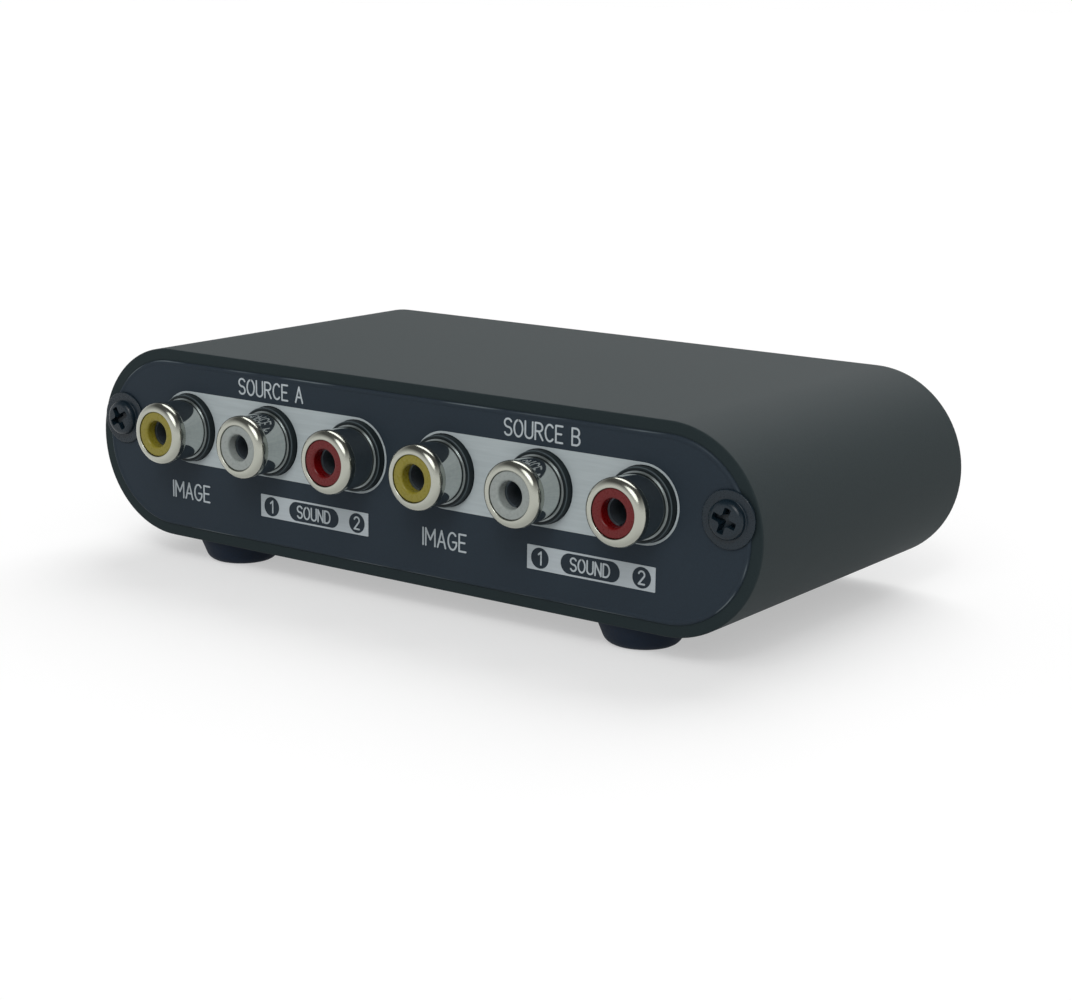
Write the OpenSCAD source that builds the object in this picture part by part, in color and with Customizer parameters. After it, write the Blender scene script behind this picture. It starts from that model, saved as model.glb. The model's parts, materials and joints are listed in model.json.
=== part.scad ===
// Selector box for composite picture and stereo sound: an extruded tube with round ends,
// two screwed end panels, nine panel jacks on one circuit board and a latching push switch.
// Millimetres. +Z is up, the six-jack panel faces -Y, and the origin is on the floor under
// the middle of the box.

/* [Housing tube] */
// Width of the tube
housing_w = 108; // [104:0.5:130]
// Height of the tube, whose ends are full round
housing_h = 26.3; // [25.5:0.1:32]
// Depth of the tube, end to end
housing_d = 52.5; // [50:0.5:80]
// Wall of the tube
wall = 1.6; // [1.2:0.1:2]
// Outside diameter of a screw port inside the tube
port_d = 6; // [5.4:0.1:6.6]
// Thickness of the ribs that make the board slots
rail_t = 1.2; // [0.8:0.1:1.6]
// How far the ribs reach over the board's edges
rail_grip = 1.8; // [1:0.1:2.4]

/* [End panels] */
// Thickness of a panel
panel_t = 1.6; // [1.2:0.1:2.4]
// How far a panel's face stands proud of the tube's end
panel_proud = 0.2; // [0:0.05:0.6]
// Gap between a panel's edge and the tube
panel_gap = 0.12; // [0.06:0.02:0.3]

/* [Panel screws] */
// Height of the screws above the tube's middle
screw_rise = 2.6; // [0:0.1:4]
// Distance from the tube's side to a screw's axis
screw_inset = 4.5; // [4:0.1:5]
// Diameter of a screw's shank
screw_d = 3; // [2.5:0.1:3.5]
// Length of a screw below its head
screw_len = 9; // [6:0.5:14]
// Diameter of the washer flange under a head
screw_flange_d = 7.2; // [6:0.1:7.4]
// Thickness of the washer flange
screw_flange_t = 0.35; // [0.3:0.05:1.2]
// Diameter of a pan head
screw_head_d = 4.8; // [4:0.1:5.6]
// Height of a pan head above its flange
screw_head_h = 0.9; // [0.8:0.05:2]
// Rounding of a pan head's edge
screw_head_round = 0.6; // [0.2:0.1:0.7]
// Length of each arm pair of the cross recess
recess_l = 3; // [2:0.1:3.4]
// Width of the cross recess
recess_w = 0.8; // [0.5:0.1:1]
// Depth of the cross recess
recess_h = 1; // [0.6:0.1:1.6]
// Radial gap around a screw in its panel
screw_hole_gap = 0.3; // [0.2:0.05:0.4]
// Radial gap around a screw in its port
thread_gap = 0.03; // [0.02:0.01:0.06]

/* [Feet] */
// Height of a foot
foot_h = 3.4; // [2:0.1:6]
// Diameter of a foot where it meets the tube
foot_top_d = 12; // [10:0.1:12.4]
// Diameter of a foot at the floor, before its edge is rounded
foot_low_d = 9.2; // [8:0.1:10]
// Rounding of a foot's lower edge
foot_round = 1.6; // [0.3:0.1:1.6]
// Distance from the tube's side to a foot's axis
foot_side = 20.3; // [19.5:0.1:30]
// Distance from the tube's end to a foot's axis
foot_end = 6.5; // [6.3:0.05:14]

/* [Jacks] */
// Distance from the tube's side to the nearest jack's axis
jack_inset = 16.5; // [15.5:0.1:20]
// How far the first group sits towards the second, off an even row
first_group_shift = 0.6; // [0:0.05:1]
// How far the second group sits away from the first, off an even row
second_group_shift = 0.15; // [0:0.05:0.5]
// Height of the jack row above the tube's middle
jack_rise = 2.7; // [1.5:0.1:4]
// Reach of a jack in front of its panel
jack_reach = 6.7; // [5.6:0.1:10]
// Outside diameter of a barrel
barrel_d = 8.1; // [8:0.1:8.6]
// How far the rolled lip stands out from the barrel
lip_roll = 0.16; // [0.16:0.01:0.24]
// Length of the rolled lip
lip_len = 1.5; // [1:0.1:2]
// Rounding of the lip's front edge
lip_round = 0.95; // [0.3:0.05:1]
// Thickness of the lip where it turns in over the insulator
lip_t = 0.6; // [0.5:0.1:0.9]
// How far the lip turns in over the insulator
lip_turn = 0.4; // [0.2:0.1:0.6]
// Wall of the shell's tail
shell_wall = 0.4; // [0.3:0.05:0.5]
// Step from the barrel down to the tail
tail_step = 0.2; // [0.16:0.02:0.3]
// Length of the tail behind the panel
shell_tail = 4; // [3:0.1:6]
// How far the base flange stands out from the barrel
flange_lip = 0.16; // [0.16:0.02:0.5]
// Thickness of the base flange
flange_t = 0.2; // [0.15:0.05:0.5]
// Wall of the black collar around the tail
collar_wall = 0.7; // [0.5:0.05:0.9]
// Reach of the collar in front of the panel
collar_reach = 1; // [0.5:0.1:1.6]
// Radial gap around the collar in the panel
collar_gap = 0.1; // [0.06:0.02:0.2]
// Radial gap between a jack's nested pieces
sleeve_gap = 0.05; // [0.03:0.01:0.08]
// How far the insulator's face lies behind the lip's front
face_recess = 0.2; // [0.1:0.05:0.5]
// Thickness of the insulator's front wall
face_t = 1.5; // [1:0.1:2.5]
// Diameter of the insulator's hole
socket_d = 3.5; // [3.4:0.05:4]
// Length of the insulator behind the shell
insulator_tail = 1.2; // [0.8:0.1:2]
// Bore of the centre contact
contact_bore = 3.3; // [3.2:0.05:3.4]
// Wall of the centre contact
contact_wall = 0.35; // [0.25:0.05:0.5]
// Radial room around the contact in the insulator
contact_room = 0.2; // [0.1:0.05:0.3]
// Length of the contact behind the insulator
contact_tail = 2.6; // [2:0.1:4]
// Width of the spring slits in the contact
slit_w = 0.4; // [0.3:0.05:0.6]
// Length of the spring slits in the contact
slit_len = 6; // [3:0.5:8]
// Width of a jack's body
body_w = 11.5; // [10.5:0.1:13]
// Height of a jack's body above the jack's axis
body_rise = 5.6; // [5:0.1:6.4]
// Wall of a jack's body behind its contact
body_wall = 1.4; // [1:0.1:2]
// Height of a jack's axis above the circuit board
jack_axis_h = 8; // [7:0.1:9]
// Width of a jack's solder lugs
lug_w = 1.2; // [0.8:0.1:1.6]
// Thickness of a jack's solder lugs
lug_t = 0.5; // [0.3:0.05:0.8]
// Gap around a solder lug
lug_gap = 0.1; // [0.06:0.02:0.2]

/* [Circuit board] */
// Thickness of the board
board_t = 1.6; // [1:0.1:2]
// Gap above and below the board in its slots
board_gap = 0.1; // [0.05:0.05:0.2]
// Gap beside the board in its slots
board_side_gap = 0.3; // [0.1:0.1:0.5]
// Gap between the board's ends and the panels
board_end_gap = 0.3; // [0.1:0.1:0.6]
// Length of a soldered tail below the board
pin_tail = 1.4; // [0.8:0.1:2]

/* [Selector button] */
// Distance from the tube's side to the button's axis
switch_inset = 31.5; // [22:0.5:36]
// Diameter of the button
button_d = 8; // [7:0.1:9]
// Reach of the button in front of the rear panel
button_reach = 4.8; // [4:0.1:6]
// Length of the button behind the rear panel
button_skirt = 1.5; // [1:0.1:3]
// Rounding of the button's edge
button_round = 0.8; // [0.3:0.1:1.4]
// Radial gap around the button in the rear panel
button_gap = 0.3; // [0.2:0.05:0.5]
// Depth of the socket that takes the stem
button_socket = 4; // [3:0.1:5]
// Travel of the button
travel = 2.5; // [2:0.1:2.7]
// Clearance left at the end of the travel
stop_gap = 0.3; // [0.2:0.1:0.6]

/* [Push switch] */
// Width of the switch housing
switch_w = 10.4; // [9.6:0.1:12]
// Height of the switch housing
switch_h = 9.4; // [9:0.1:11]
// Side walls and back wall of the switch housing
switch_wall = 1.6; // [1.3:0.1:1.8]
// Roof and floor of the switch housing
switch_roof = 1.4; // [1.2:0.1:1.6]
// Thickness of the front bracket
bracket_t = 0.8; // [0.5:0.1:1.2]
// Length of the bracket's arms along the housing
bracket_arm = 6; // [3:0.5:10]
// Length of the slider
slider_len = 12; // [11.5:0.1:14]
// Gap around the slider, and around its stem
slider_gap = 0.15; // [0.1:0.05:0.2]
// Gap between the slider and its front stop at rest
rest_gap = 0.05; // [0.03:0.01:0.1]
// Width of the square stem
stem_w = 4; // [3:0.1:4.4]
// Gap around the stem in the button
stem_gap = 0.05; // [0.03:0.01:0.1]
// Mean diameter of the return spring
spring_d = 3.2; // [2.8:0.1:3.4]
// Wire of the return spring
spring_wire = 0.5; // [0.3:0.05:0.6]
// Turns of the return spring
spring_turns = 6; // [4:1:8]
// Depth of the spring's pocket in the slider
spring_pocket = 6; // [4:0.5:7]
// Room for the spring behind the slider at full travel
spring_room = 3; // [2.5:0.1:5]
// Gap beside and at the ends of the spring
spring_gap = 0.2; // [0.1:0.05:0.3]
// Diameter of the post that the spring sits on
post_d = 2.2; // [1.6:0.1:2.2]
// Length of the post that the spring sits on
post_len = 1.5; // [1:0.1:2.4]
// Spacing of the terminals
terminal_pitch = 2.5; // [2.2:0.1:2.6]
// Distance of the first terminal behind the slider's front
terminal_lead = 1.2; // [1:0.1:1.5]
// Thickness of a terminal
terminal_t = 0.5; // [0.3:0.05:0.7]
// Width of a terminal
terminal_w = 0.8; // [0.6:0.1:1]
// Gap around a terminal
terminal_gap = 0.05; // [0.03:0.01:0.08]
// Height of the terminals above the slider's axis
terminal_rise = 1.2; // [0.8:0.1:2]
// Thickness of a moving contact
clip_t = 0.4; // [0.3:0.05:0.6]
// Height of a moving contact
clip_h = 2.4; // [1.6:0.1:3]
// Length of a moving contact past its two ribs
clip_over = 0.5; // [0.3:0.05:0.6]
// Radius of a moving contact's ribs
clip_rib = 0.25; // [0.15:0.05:0.3]
// How far a moving contact's ribs stand out from the slider
clip_proud = 0.1; // [0.04:0.02:0.1]

/* [Push latch] */
// Wire of the latch pin
latch_wire = 0.6; // [0.5:0.05:0.7]
// Length of the latch pin between its legs
latch_len = 7; // [6:0.1:8]
// Swing of the latch pin over the button's travel, in degrees
latch_swing = 12; // [8:1:14]
// Radial gap around the latch pin's pivot
pivot_gap = 0.05; // [0.02:0.01:0.08]
// Gap around the latch pin in the heart-shaped track and under its leaf spring
cam_gap = 0.15; // [0.12:0.01:0.2]
// Depth of the heart-shaped track
cam_depth = 0.8; // [0.6:0.1:0.9]
// Distance from the slider's front to the far end of the track
cam_lead = 2.2; // [1.6:0.1:2.6]
// Length of the notch that holds the pin in the track
cam_notch = 0.5; // [0.3:0.1:0.8]
// Thickness of the leaf spring
leaf_t = 0.3; // [0.2:0.05:0.5]
// Width of the leaf spring
leaf_w = 3; // [2:0.1:5]
// Length of the leaf spring's foot
leaf_foot = 3; // [2:0.1:4]

/* [Hidden] */
$fn = 48;
// Overshoot of a cut past the face it opens
cut = 1;
// Poles on each side of the switch, and terminals of a pole
poles = 2;
pole_terminals = 3;
// Sides and rings per turn of the spring's wire
wire_sides = 6;
turn_rings = 16;

// Tube and panels
z_mid = foot_h + housing_h / 2;
inner_w = housing_w - 2 * wall;
inner_h = housing_h - 2 * wall;
panel_face_y = housing_d / 2 + panel_proud;
seat_y = panel_face_y - panel_t;
screw_x = housing_w / 2 - screw_inset;
screw_z = z_mid + screw_rise;
port_hole_d = screw_d + 2 * thread_gap;
foot_x = housing_w / 2 - foot_side;
foot_y = housing_d / 2 - foot_end;
switch_x = housing_w / 2 - switch_inset;

// Board
jack_z = z_mid + jack_rise;
board_top = jack_z - jack_axis_h;
board_low = board_top - board_t;
board_d = 2 * (seat_y - board_end_gap);
board_half_w = inner_half_width(board_low - board_gap) - board_side_gap;
tail_h = board_t + pin_tail;

// Jack, along its own axis: zero at the panel's face, positive out of the mouth
shell_back = -panel_t - shell_tail;
insulator_back = shell_back - insulator_tail;
contact_back = insulator_back - contact_tail;
body_back = contact_back - body_wall;
face_front = jack_reach - face_recess;
face_back = face_front - face_t;
contact_front = face_back - contact_room;
tail_d = barrel_d - 2 * tail_step;
lip_d = barrel_d + 2 * lip_roll;
shell_bore = tail_d - 2 * shell_wall;
lip_bore = shell_bore - 2 * lip_turn;
flange_d = barrel_d + 2 * flange_lip;
collar_d = tail_d + 2 * sleeve_gap + 2 * collar_wall;
insulator_d = shell_bore - 2 * sleeve_gap;
face_d = lip_bore - 2 * sleeve_gap;
contact_d = contact_bore + 2 * contact_wall;
cavity_d = contact_d + 2 * contact_room;

// Switch, along the button's axis: zero at the rear panel's face, positive outwards
button_back = -panel_t - button_skirt;
button_len = button_reach - button_back;
stem_front = button_back + button_socket - stem_gap;
bracket_front = button_back - travel - stop_gap;
switch_front = bracket_front - bracket_t;
slider_front = switch_front - rest_gap;
slider_back = slider_front - slider_len;
channel_back = slider_back - travel - spring_room;
switch_back = channel_back - switch_wall;
switch_axis_h = switch_h / 2;
channel_w = switch_w - 2 * switch_wall;
channel_h = switch_h - 2 * switch_roof;
slider_w = channel_w - 2 * slider_gap;
slider_h = channel_h - 2 * slider_gap;
pocket_floor = slider_back + spring_pocket;
pocket_d = spring_d + spring_wire + 2 * spring_gap;
clip_len = terminal_pitch + 2 * clip_over;
pole_step = pole_terminals * terminal_pitch;
TERMINALS = [for (i = [0:poles * pole_terminals - 1]) slider_front - terminal_lead - i * terminal_pitch];
CLIPS = [for (i = [0:poles - 1]) slider_front - terminal_lead - terminal_pitch / 2 - i * pole_step];

// Latch
tip_s = slider_front - cam_lead - travel;
pivot_s = tip_s - latch_len;
bar_y = switch_h + cam_gap + latch_wire / 2;
leaf_y = bar_y + latch_wire / 2 + cam_gap;
cam_floor = switch_axis_h + slider_h / 2 - cam_depth;
cam_throw = latch_len * sin(latch_swing);
cam_fall = latch_len * (1 - cos(latch_swing));
cam_w = latch_wire + 2 * cam_gap;

// Channels of a jack group, with the colour of each insulator
CHANNELS = [["video", "#c9a92c"], ["left", "#e4e4e0"], ["right", "#a3262b"]];
group = len(CHANNELS);
jack_pitch = (housing_w - 2 * jack_inset) / (2 * group - 1);
group_shift = [first_group_shift, second_group_shift];
FRONT = -1;
REAR = 1;
// Each jack: name, panel, place along the panel, insulator colour
JACKS = concat(
    [for (g = [0, 1], c = [0:group - 1])
        [str("source_", g + 1, "_", CHANNELS[c][0]), FRONT,
            (group * (g - 1) + c + 0.5) * jack_pitch + group_shift[g], CHANNELS[c][1]]],
    [for (c = [0:group - 1])
        [str("shared_", CHANNELS[c][0]), REAR, -c * jack_pitch, CHANNELS[c][1]]]
);
FEET = [
    ["foot_front_left", -1, FRONT], ["foot_front_right", 1, FRONT],
    ["foot_rear_left", -1, REAR], ["foot_rear_right", 1, REAR]
];

// Half the inside width of the tube at height z
function inner_half_width(z) = (inner_w - inner_h) / 2 + sqrt(pow(inner_h / 2, 2) - pow(z - z_mid, 2));

// Flat outline of width w and height h with full round ends, in the middle of the tube
module stadium(w, h) {
    translate([0, z_mid]) {
        square([w - h, h], center = true);
        for (side = [-1, 1]) translate([side * (w - h) / 2, 0]) circle(d = h);
    }
}

// Flat outline in X and Z, drawn out along Y from y0 to y1
module along_y(y0, y1) {
    translate([0, y1, 0]) rotate([90, 0, 0]) linear_extrude(y1 - y0) children();
}

// Place on a panel's face: local Z points out of the panel and local Y points up
module on_panel(side, x, z) {
    translate([x, side * panel_face_y, z]) rotate([90, 0, side == FRONT ? 0 : 180]) children();
}

// Place of the switch: local Z along the button's axis and local Y up from the board
module on_switch() {
    on_panel(REAR, switch_x, board_top) children();
}

// Ring in a lengthwise profile: between two diameters, from s0 to s1 along the axis
module ring(d0, d1, s0, s1) {
    translate([d0 / 2, s0]) square([(d1 - d0) / 2, s1 - s0]);
}

// Rod along local Z from s0 to s1
module rod(d, s0, s1) {
    translate([0, 0, s0]) cylinder(d = d, h = s1 - s0);
}

// Upright rod along local Y from y0 to y1, at place s along local Z
module upright(d, y0, y1, s) {
    translate([0, y0, s]) rotate([-90, 0, 0]) cylinder(d = d, h = y1 - y0);
}

// Box of width w about the middle, from y0 to y1 and from s0 to s1
module slab(w, y0, y1, s0, s1) {
    translate([-w / 2, y0, s0]) cube([w, y1 - y0, s1 - s0]);
}

// Box from x0 to x1 on both sides of the middle
module slab_pair(x0, x1, y0, y1, s0, s1) {
    for (side = [0, 1]) mirror([side, 0, 0]) translate([x0, y0, s0]) cube([x1 - x0, y1 - y0, s1 - s0]);
}

// Disc of height h whose upper edge is rounded
module round_disc(d, h, r) {
    rotate_extrude() {
        square([d / 2 - r, h]);
        square([d / 2, h - r]);
        translate([d / 2 - r, h - r]) circle(r);
    }
}

module housing_tube() color("#3b3d3f") difference() {
    union() {
        along_y(-housing_d / 2, housing_d / 2) difference() {
            stadium(housing_w, housing_h);
            stadium(inner_w, inner_h);
        }
        along_y(-seat_y, seat_y) intersection() {
            stadium(inner_w + wall, inner_h + wall);
            for (side = [0, 1]) mirror([side, 0]) {
                translate([screw_x, screw_z]) circle(d = port_d);
                board_rail(board_low - board_gap - rail_t);
                board_rail(board_top + board_gap);
            }
        }
    }
    along_y(-seat_y - cut, seat_y + cut)
        for (side = [-1, 1]) translate([side * screw_x, screw_z]) circle(d = port_hole_d);
}

// One rib of a board slot, with its lower face at height z
module board_rail(z) {
    translate([board_half_w - rail_grip, z]) square([housing_w, rail_t]);
}

// Panel blank with holes for its jacks and screws
module panel_blank(side) {
    y0 = side == FRONT ? -panel_face_y : seat_y;
    along_y(y0, y0 + panel_t) difference() {
        stadium(inner_w - 2 * panel_gap, inner_h - 2 * panel_gap);
        for (j = JACKS) if (j[1] == side) translate([j[2], jack_z]) circle(d = collar_d + 2 * collar_gap);
        for (x = [-screw_x, screw_x]) translate([x, screw_z]) circle(d = screw_d + 2 * screw_hole_gap);
    }
}

module front_panel() color("#24272d") panel_blank(FRONT);

module rear_panel() color("#24272d") difference() {
    panel_blank(REAR);
    on_switch() translate([0, switch_axis_h, 0]) rod(button_d + 2 * button_gap, -panel_t - cut, cut);
}

module panel_screws() color("#1c1d20")
    for (side = [FRONT, REAR], x = [-screw_x, screw_x]) on_panel(side, x, screw_z) panel_screw();

// Pan head screw with a washer flange and a cross recess
module panel_screw() {
    head_top = screw_flange_t + screw_head_h;
    difference() {
        union() {
            rod(screw_d, -screw_len, screw_flange_t);
            rod(screw_flange_d, 0, screw_flange_t);
            translate([0, 0, screw_flange_t]) round_disc(screw_head_d, screw_head_h, screw_head_round);
        }
        for (turn = [0, 90]) rotate(turn)
            slab(recess_l, -recess_w / 2, recess_w / 2, head_top - recess_h, head_top + cut);
    }
}

// Rubber foot: a cone whose lower edge is rounded by an arc that meets the slope smoothly
module foot() color("#1b1d20") {
    slope = atan((foot_top_d - foot_low_d) / 2 / foot_h);
    arc_x = foot_low_d / 2 + foot_round * (tan(slope) - 1 / cos(slope));
    rotate_extrude() {
        polygon([
            [0, 0], [arc_x, 0],
            [arc_x + foot_round * cos(slope), foot_round * (1 - sin(slope))],
            [foot_top_d / 2, foot_h], [0, foot_h]
        ]);
        translate([arc_x, foot_round]) circle(foot_round);
    }
}

module circuit_board() color("#1f5a36") difference() {
    translate([-board_half_w, -board_d / 2, board_low]) cube([2 * board_half_w, board_d, board_t]);
    for (j = JACKS) on_panel(j[1], j[2], jack_z) jack_lugs(lug_gap, -cut);
    on_switch() terminals(terminal_gap);
}

// The two solder lugs of a jack, grown by gap, down to depth extra below their tails
module jack_lugs(gap, extra) {
    low = -jack_axis_h - tail_h + extra;
    slab(lug_w + 2 * gap, low, -tail_d / 2 + shell_wall, shell_back - gap, shell_back + lug_t + gap);
    slab(lug_w + 2 * gap, low, -contact_bore / 2, contact_back - gap, contact_back + lug_t + gap);
}

// Rolled shell of a jack: tail, base flange, barrel and turned-in lip, with its solder lug
module jack_shell() color("#c9c6bd") {
    rotate_extrude() {
        ring(shell_bore, tail_d, shell_back, collar_reach);
        ring(shell_bore, flange_d, collar_reach, collar_reach + flange_t);
        ring(shell_bore, barrel_d, collar_reach, jack_reach - lip_round);
        ring(shell_bore, lip_d, jack_reach - lip_len, jack_reach - lip_round);
        ring(lip_bore, lip_d - 2 * lip_round, jack_reach - lip_t, jack_reach);
        intersection() {
            translate([lip_d / 2 - lip_round, jack_reach - lip_round]) circle(lip_round);
            union() {
                ring(shell_bore, lip_d, jack_reach - lip_len, jack_reach);
                ring(lip_bore, lip_d, jack_reach - lip_t, jack_reach);
            }
        }
    }
    difference() {
        slab(lug_w, -jack_axis_h - tail_h, -tail_d / 2 + shell_wall, shell_back, shell_back + lug_t);
        rod(shell_bore, shell_back - cut, shell_back + lug_t + cut);
    }
}

// Coloured insulator of a jack: a sleeve behind the lip with a thick front wall
module jack_insulator(shade) color(shade) rotate_extrude() {
    ring(cavity_d, insulator_d, insulator_back, face_back);
    ring(socket_d, insulator_d, face_back, jack_reach - lip_t - sleeve_gap);
    ring(socket_d, face_d, face_back, face_front);
}

// Slit spring tube that takes the centre pin, with its solder lug
module jack_contact() color("#b99b54") difference() {
    union() {
        rod(contact_d, contact_back, contact_front);
        slab(lug_w, -jack_axis_h - tail_h, 0, contact_back, contact_back + lug_t);
    }
    rod(contact_bore, contact_back - cut, contact_front + cut);
    slab(slit_w, -contact_d, contact_d, contact_front - slit_len, contact_front + cut);
}

// Moulded body of a jack: a block on the board and a collar through the panel
module jack_body() color("#17181a") difference() {
    union() {
        slab(body_w, -jack_axis_h, body_rise, body_back, -panel_t);
        rod(collar_d, -panel_t - cut, collar_reach);
    }
    rod(tail_d + 2 * sleeve_gap, shell_back - lug_gap, collar_reach + cut);
    rod(insulator_d + 2 * sleeve_gap, insulator_back - sleeve_gap, collar_reach);
    rod(contact_d + 2 * sleeve_gap, contact_back - lug_gap, collar_reach);
    jack_lugs(lug_gap, 0);
}

module switch_housing() color("#dcd8cc") {
    difference() {
        slab(switch_w, 0, switch_h, switch_back, switch_front);
        slab(channel_w, switch_roof, switch_h - switch_roof, channel_back, switch_front + cut);
        terminals(terminal_gap);
        upright(latch_wire + 2 * pivot_gap, switch_axis_h, switch_h + cut, pivot_s);
        slab(
            2 * (cam_throw + cam_w), switch_axis_h, switch_h + cut,
            tip_s - cam_fall - cam_w, tip_s + cam_w
        );
    }
    translate([0, switch_axis_h, 0]) rod(post_d, channel_back - switch_wall / 2, channel_back + post_len);
}

// Bent plate across the switch's front that stops the slider
module switch_bracket() color("#a9adb0") {
    stem_hole = stem_w + 2 * slider_gap;
    difference() {
        slab(switch_w + 2 * bracket_t, 0, switch_h, switch_front, bracket_front);
        slab(
            stem_hole, switch_axis_h - stem_hole / 2, switch_axis_h + stem_hole / 2,
            switch_front - cut, bracket_front + cut
        );
    }
    slab_pair(switch_w / 2, switch_w / 2 + bracket_t, 0, switch_h, switch_front - bracket_arm, bracket_front);
}

// The terminals, grown by gap and opened towards the channel where they are used as a cut
module terminals(gap) {
    reach = gap > 0 ? cut : 0;
    for (s = TERMINALS)
        slab_pair(
            channel_w / 2 - reach, channel_w / 2 + terminal_t + gap,
            -tail_h - reach, switch_axis_h + terminal_rise + gap,
            s - terminal_w / 2 - gap, s + terminal_w / 2 + gap
        );
}

module switch_terminals() color("#c8b26a") terminals(0);

module selector_slider() color("#ece9e0") difference() {
    union() {
        slab(
            slider_w, switch_axis_h - slider_h / 2, switch_axis_h + slider_h / 2,
            slider_back, slider_front
        );
        slab(
            stem_w, switch_axis_h - stem_w / 2, switch_axis_h + stem_w / 2,
            slider_front - cut, stem_front
        );
    }
    translate([0, switch_axis_h, 0]) rod(pocket_d, slider_back - cut, pocket_floor);
    translate([0, cam_floor, 0]) rotate([-90, 0, 0]) linear_extrude(cam_depth + cut) heart_track();
    for (s = CLIPS)
        slab_pair(
            slider_w / 2 - clip_t, slider_w / 2 + cut,
            switch_axis_h - clip_h / 2, switch_axis_h + clip_h / 2,
            s - clip_len / 2, s + clip_len / 2
        );
}

// Heart-shaped track: out along one side, back into a notch, and home along the other side
module heart_track() {
    home = [0, -tip_s];
    far_s = -(tip_s + travel - cam_fall);
    out_end = [cam_throw, far_s];
    notch = [0, far_s + cam_notch];
    back_end = [-cam_throw, far_s];
    track_run(home, out_end);
    track_run(out_end, notch);
    track_run(notch, back_end);
    track_run(back_end, home);
}

// Straight run of the track with round ends
module track_run(from, to) {
    run = to - from;
    translate((from + to) / 2) rotate(atan2(run[1], run[0])) square([norm(run), cam_w], center = true);
    for (end = [from, to]) translate(end) circle(d = cam_w);
}

// Bridging contacts in the slider's sides, each with two upright ribs
module moving_contacts() color("#cfae57")
    for (s = CLIPS, side = [0, 1]) mirror([side, 0, 0]) {
        translate([slider_w / 2 - clip_t, switch_axis_h - clip_h / 2, s - clip_len / 2])
            cube([clip_t, clip_h, clip_len]);
        for (end = [-1, 1]) translate([slider_w / 2 + clip_proud - clip_rib, 0, 0])
            upright(
                2 * clip_rib, switch_axis_h - clip_h / 2, switch_axis_h + clip_h / 2,
                s + end * terminal_pitch / 2
            );
    }

// Return spring: one round wire along a helix, from the housing's back wall to the slider
module return_spring() color("#b9bcbe") translate([0, switch_axis_h, 0]) {
    low = channel_back + spring_wire / 2 + spring_gap;
    high = pocket_floor - spring_wire / 2 - spring_gap;
    rings = spring_turns * turn_rings;
    slope = atan((high - low) / spring_turns / (PI * spring_d));
    points = [
        for (i = [0:rings], k = [0:wire_sides - 1])
            let (
                turn = 360 * i / turn_rings,
                around = 360 * k / wire_sides,
                out = spring_d / 2 + spring_wire / 2 * cos(around),
                lift = spring_wire / 2 * sin(around)
            )
            [
                out * cos(turn) + lift * sin(slope) * sin(turn),
                out * sin(turn) - lift * sin(slope) * cos(turn),
                low + (high - low) * i / rings + lift * cos(slope)
            ]
    ];
    side_faces = [
        for (i = [0:rings - 1], k = [0:wire_sides - 1], half = [0, 1])
            let (
                a = i * wire_sides + k,
                b = i * wire_sides + (k + 1) % wire_sides
            )
            half == 0 ? [a, b, a + wire_sides] : [b, b + wire_sides, a + wire_sides]
    ];
    end_faces = [
        for (k = [1:wire_sides - 2], half = [0, 1])
            let (last = rings * wire_sides)
            half == 0 ? [0, k + 1, k] : [last, last + k, last + k + 1]
    ];
    polyhedron(points, concat(side_faces, end_faces));
}

// Bent wire whose short leg turns in the roof and whose long leg runs in the heart-shaped track
module latch_pin() color("#c4c7c9") {
    upright(latch_wire, switch_h - switch_roof + slider_gap, bar_y, pivot_s);
    upright(latch_wire, cam_floor + cam_gap, bar_y, tip_s);
    translate([0, bar_y, 0]) rod(latch_wire, pivot_s, tip_s);
    for (s = [pivot_s, tip_s]) translate([0, bar_y, s]) sphere(d = latch_wire);
}

// Leaf spring that keeps the latch pin down in its track
module latch_leaf() color("#b4b8ba") {
    foot_end = switch_back + leaf_foot;
    slab(leaf_w, switch_h, switch_h + leaf_t, switch_back, foot_end);
    slab(leaf_w, switch_h, leaf_y + leaf_t, foot_end - leaf_t, foot_end);
    slab(leaf_w, leaf_y, leaf_y + leaf_t, foot_end - leaf_t, tip_s);
}

module selector_button() color("#2a2c30") translate([0, switch_axis_h, 0]) difference() {
    translate([0, 0, button_back]) round_disc(button_d, button_len, button_round);
    slab(
        stem_w + 2 * stem_gap, -stem_w / 2 - stem_gap, stem_w / 2 + stem_gap,
        button_back - cut, button_back + button_socket
    );
}

housing_tube();
front_panel();
rear_panel();
panel_screws();
for (f = FEET)
    translate([f[1] * foot_x, f[2] * foot_y, 0]) foot();
circuit_board();
on_switch() switch_housing();
on_switch() switch_bracket();
on_switch() switch_terminals();
on_switch() selector_slider();
on_switch() moving_contacts();
on_switch() return_spring();
on_switch() latch_pin();
on_switch() latch_leaf();
on_switch() selector_button();
for (j = JACKS) {
    on_panel(j[1], j[2], jack_z) jack_shell();
    on_panel(j[1], j[2], jack_z) jack_insulator(j[3]);
    on_panel(j[1], j[2], jack_z) jack_contact();
    on_panel(j[1], j[2], jack_z) jack_body();
}
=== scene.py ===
"""Looks of a selector box for two picture and sound sources.

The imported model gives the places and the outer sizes. This script dresses it: smooth surfaces for
the pieces that show, printed marks on the end panels, a finish for every piece, and a plain studio.
Sizes are in millimetres unless a name says otherwise. Meshes are stored in metres, in the row frame.
"""
from __future__ import annotations

import json
import logging
import math
from collections.abc import Sequence
from dataclasses import dataclass
from enum import Enum

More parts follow.
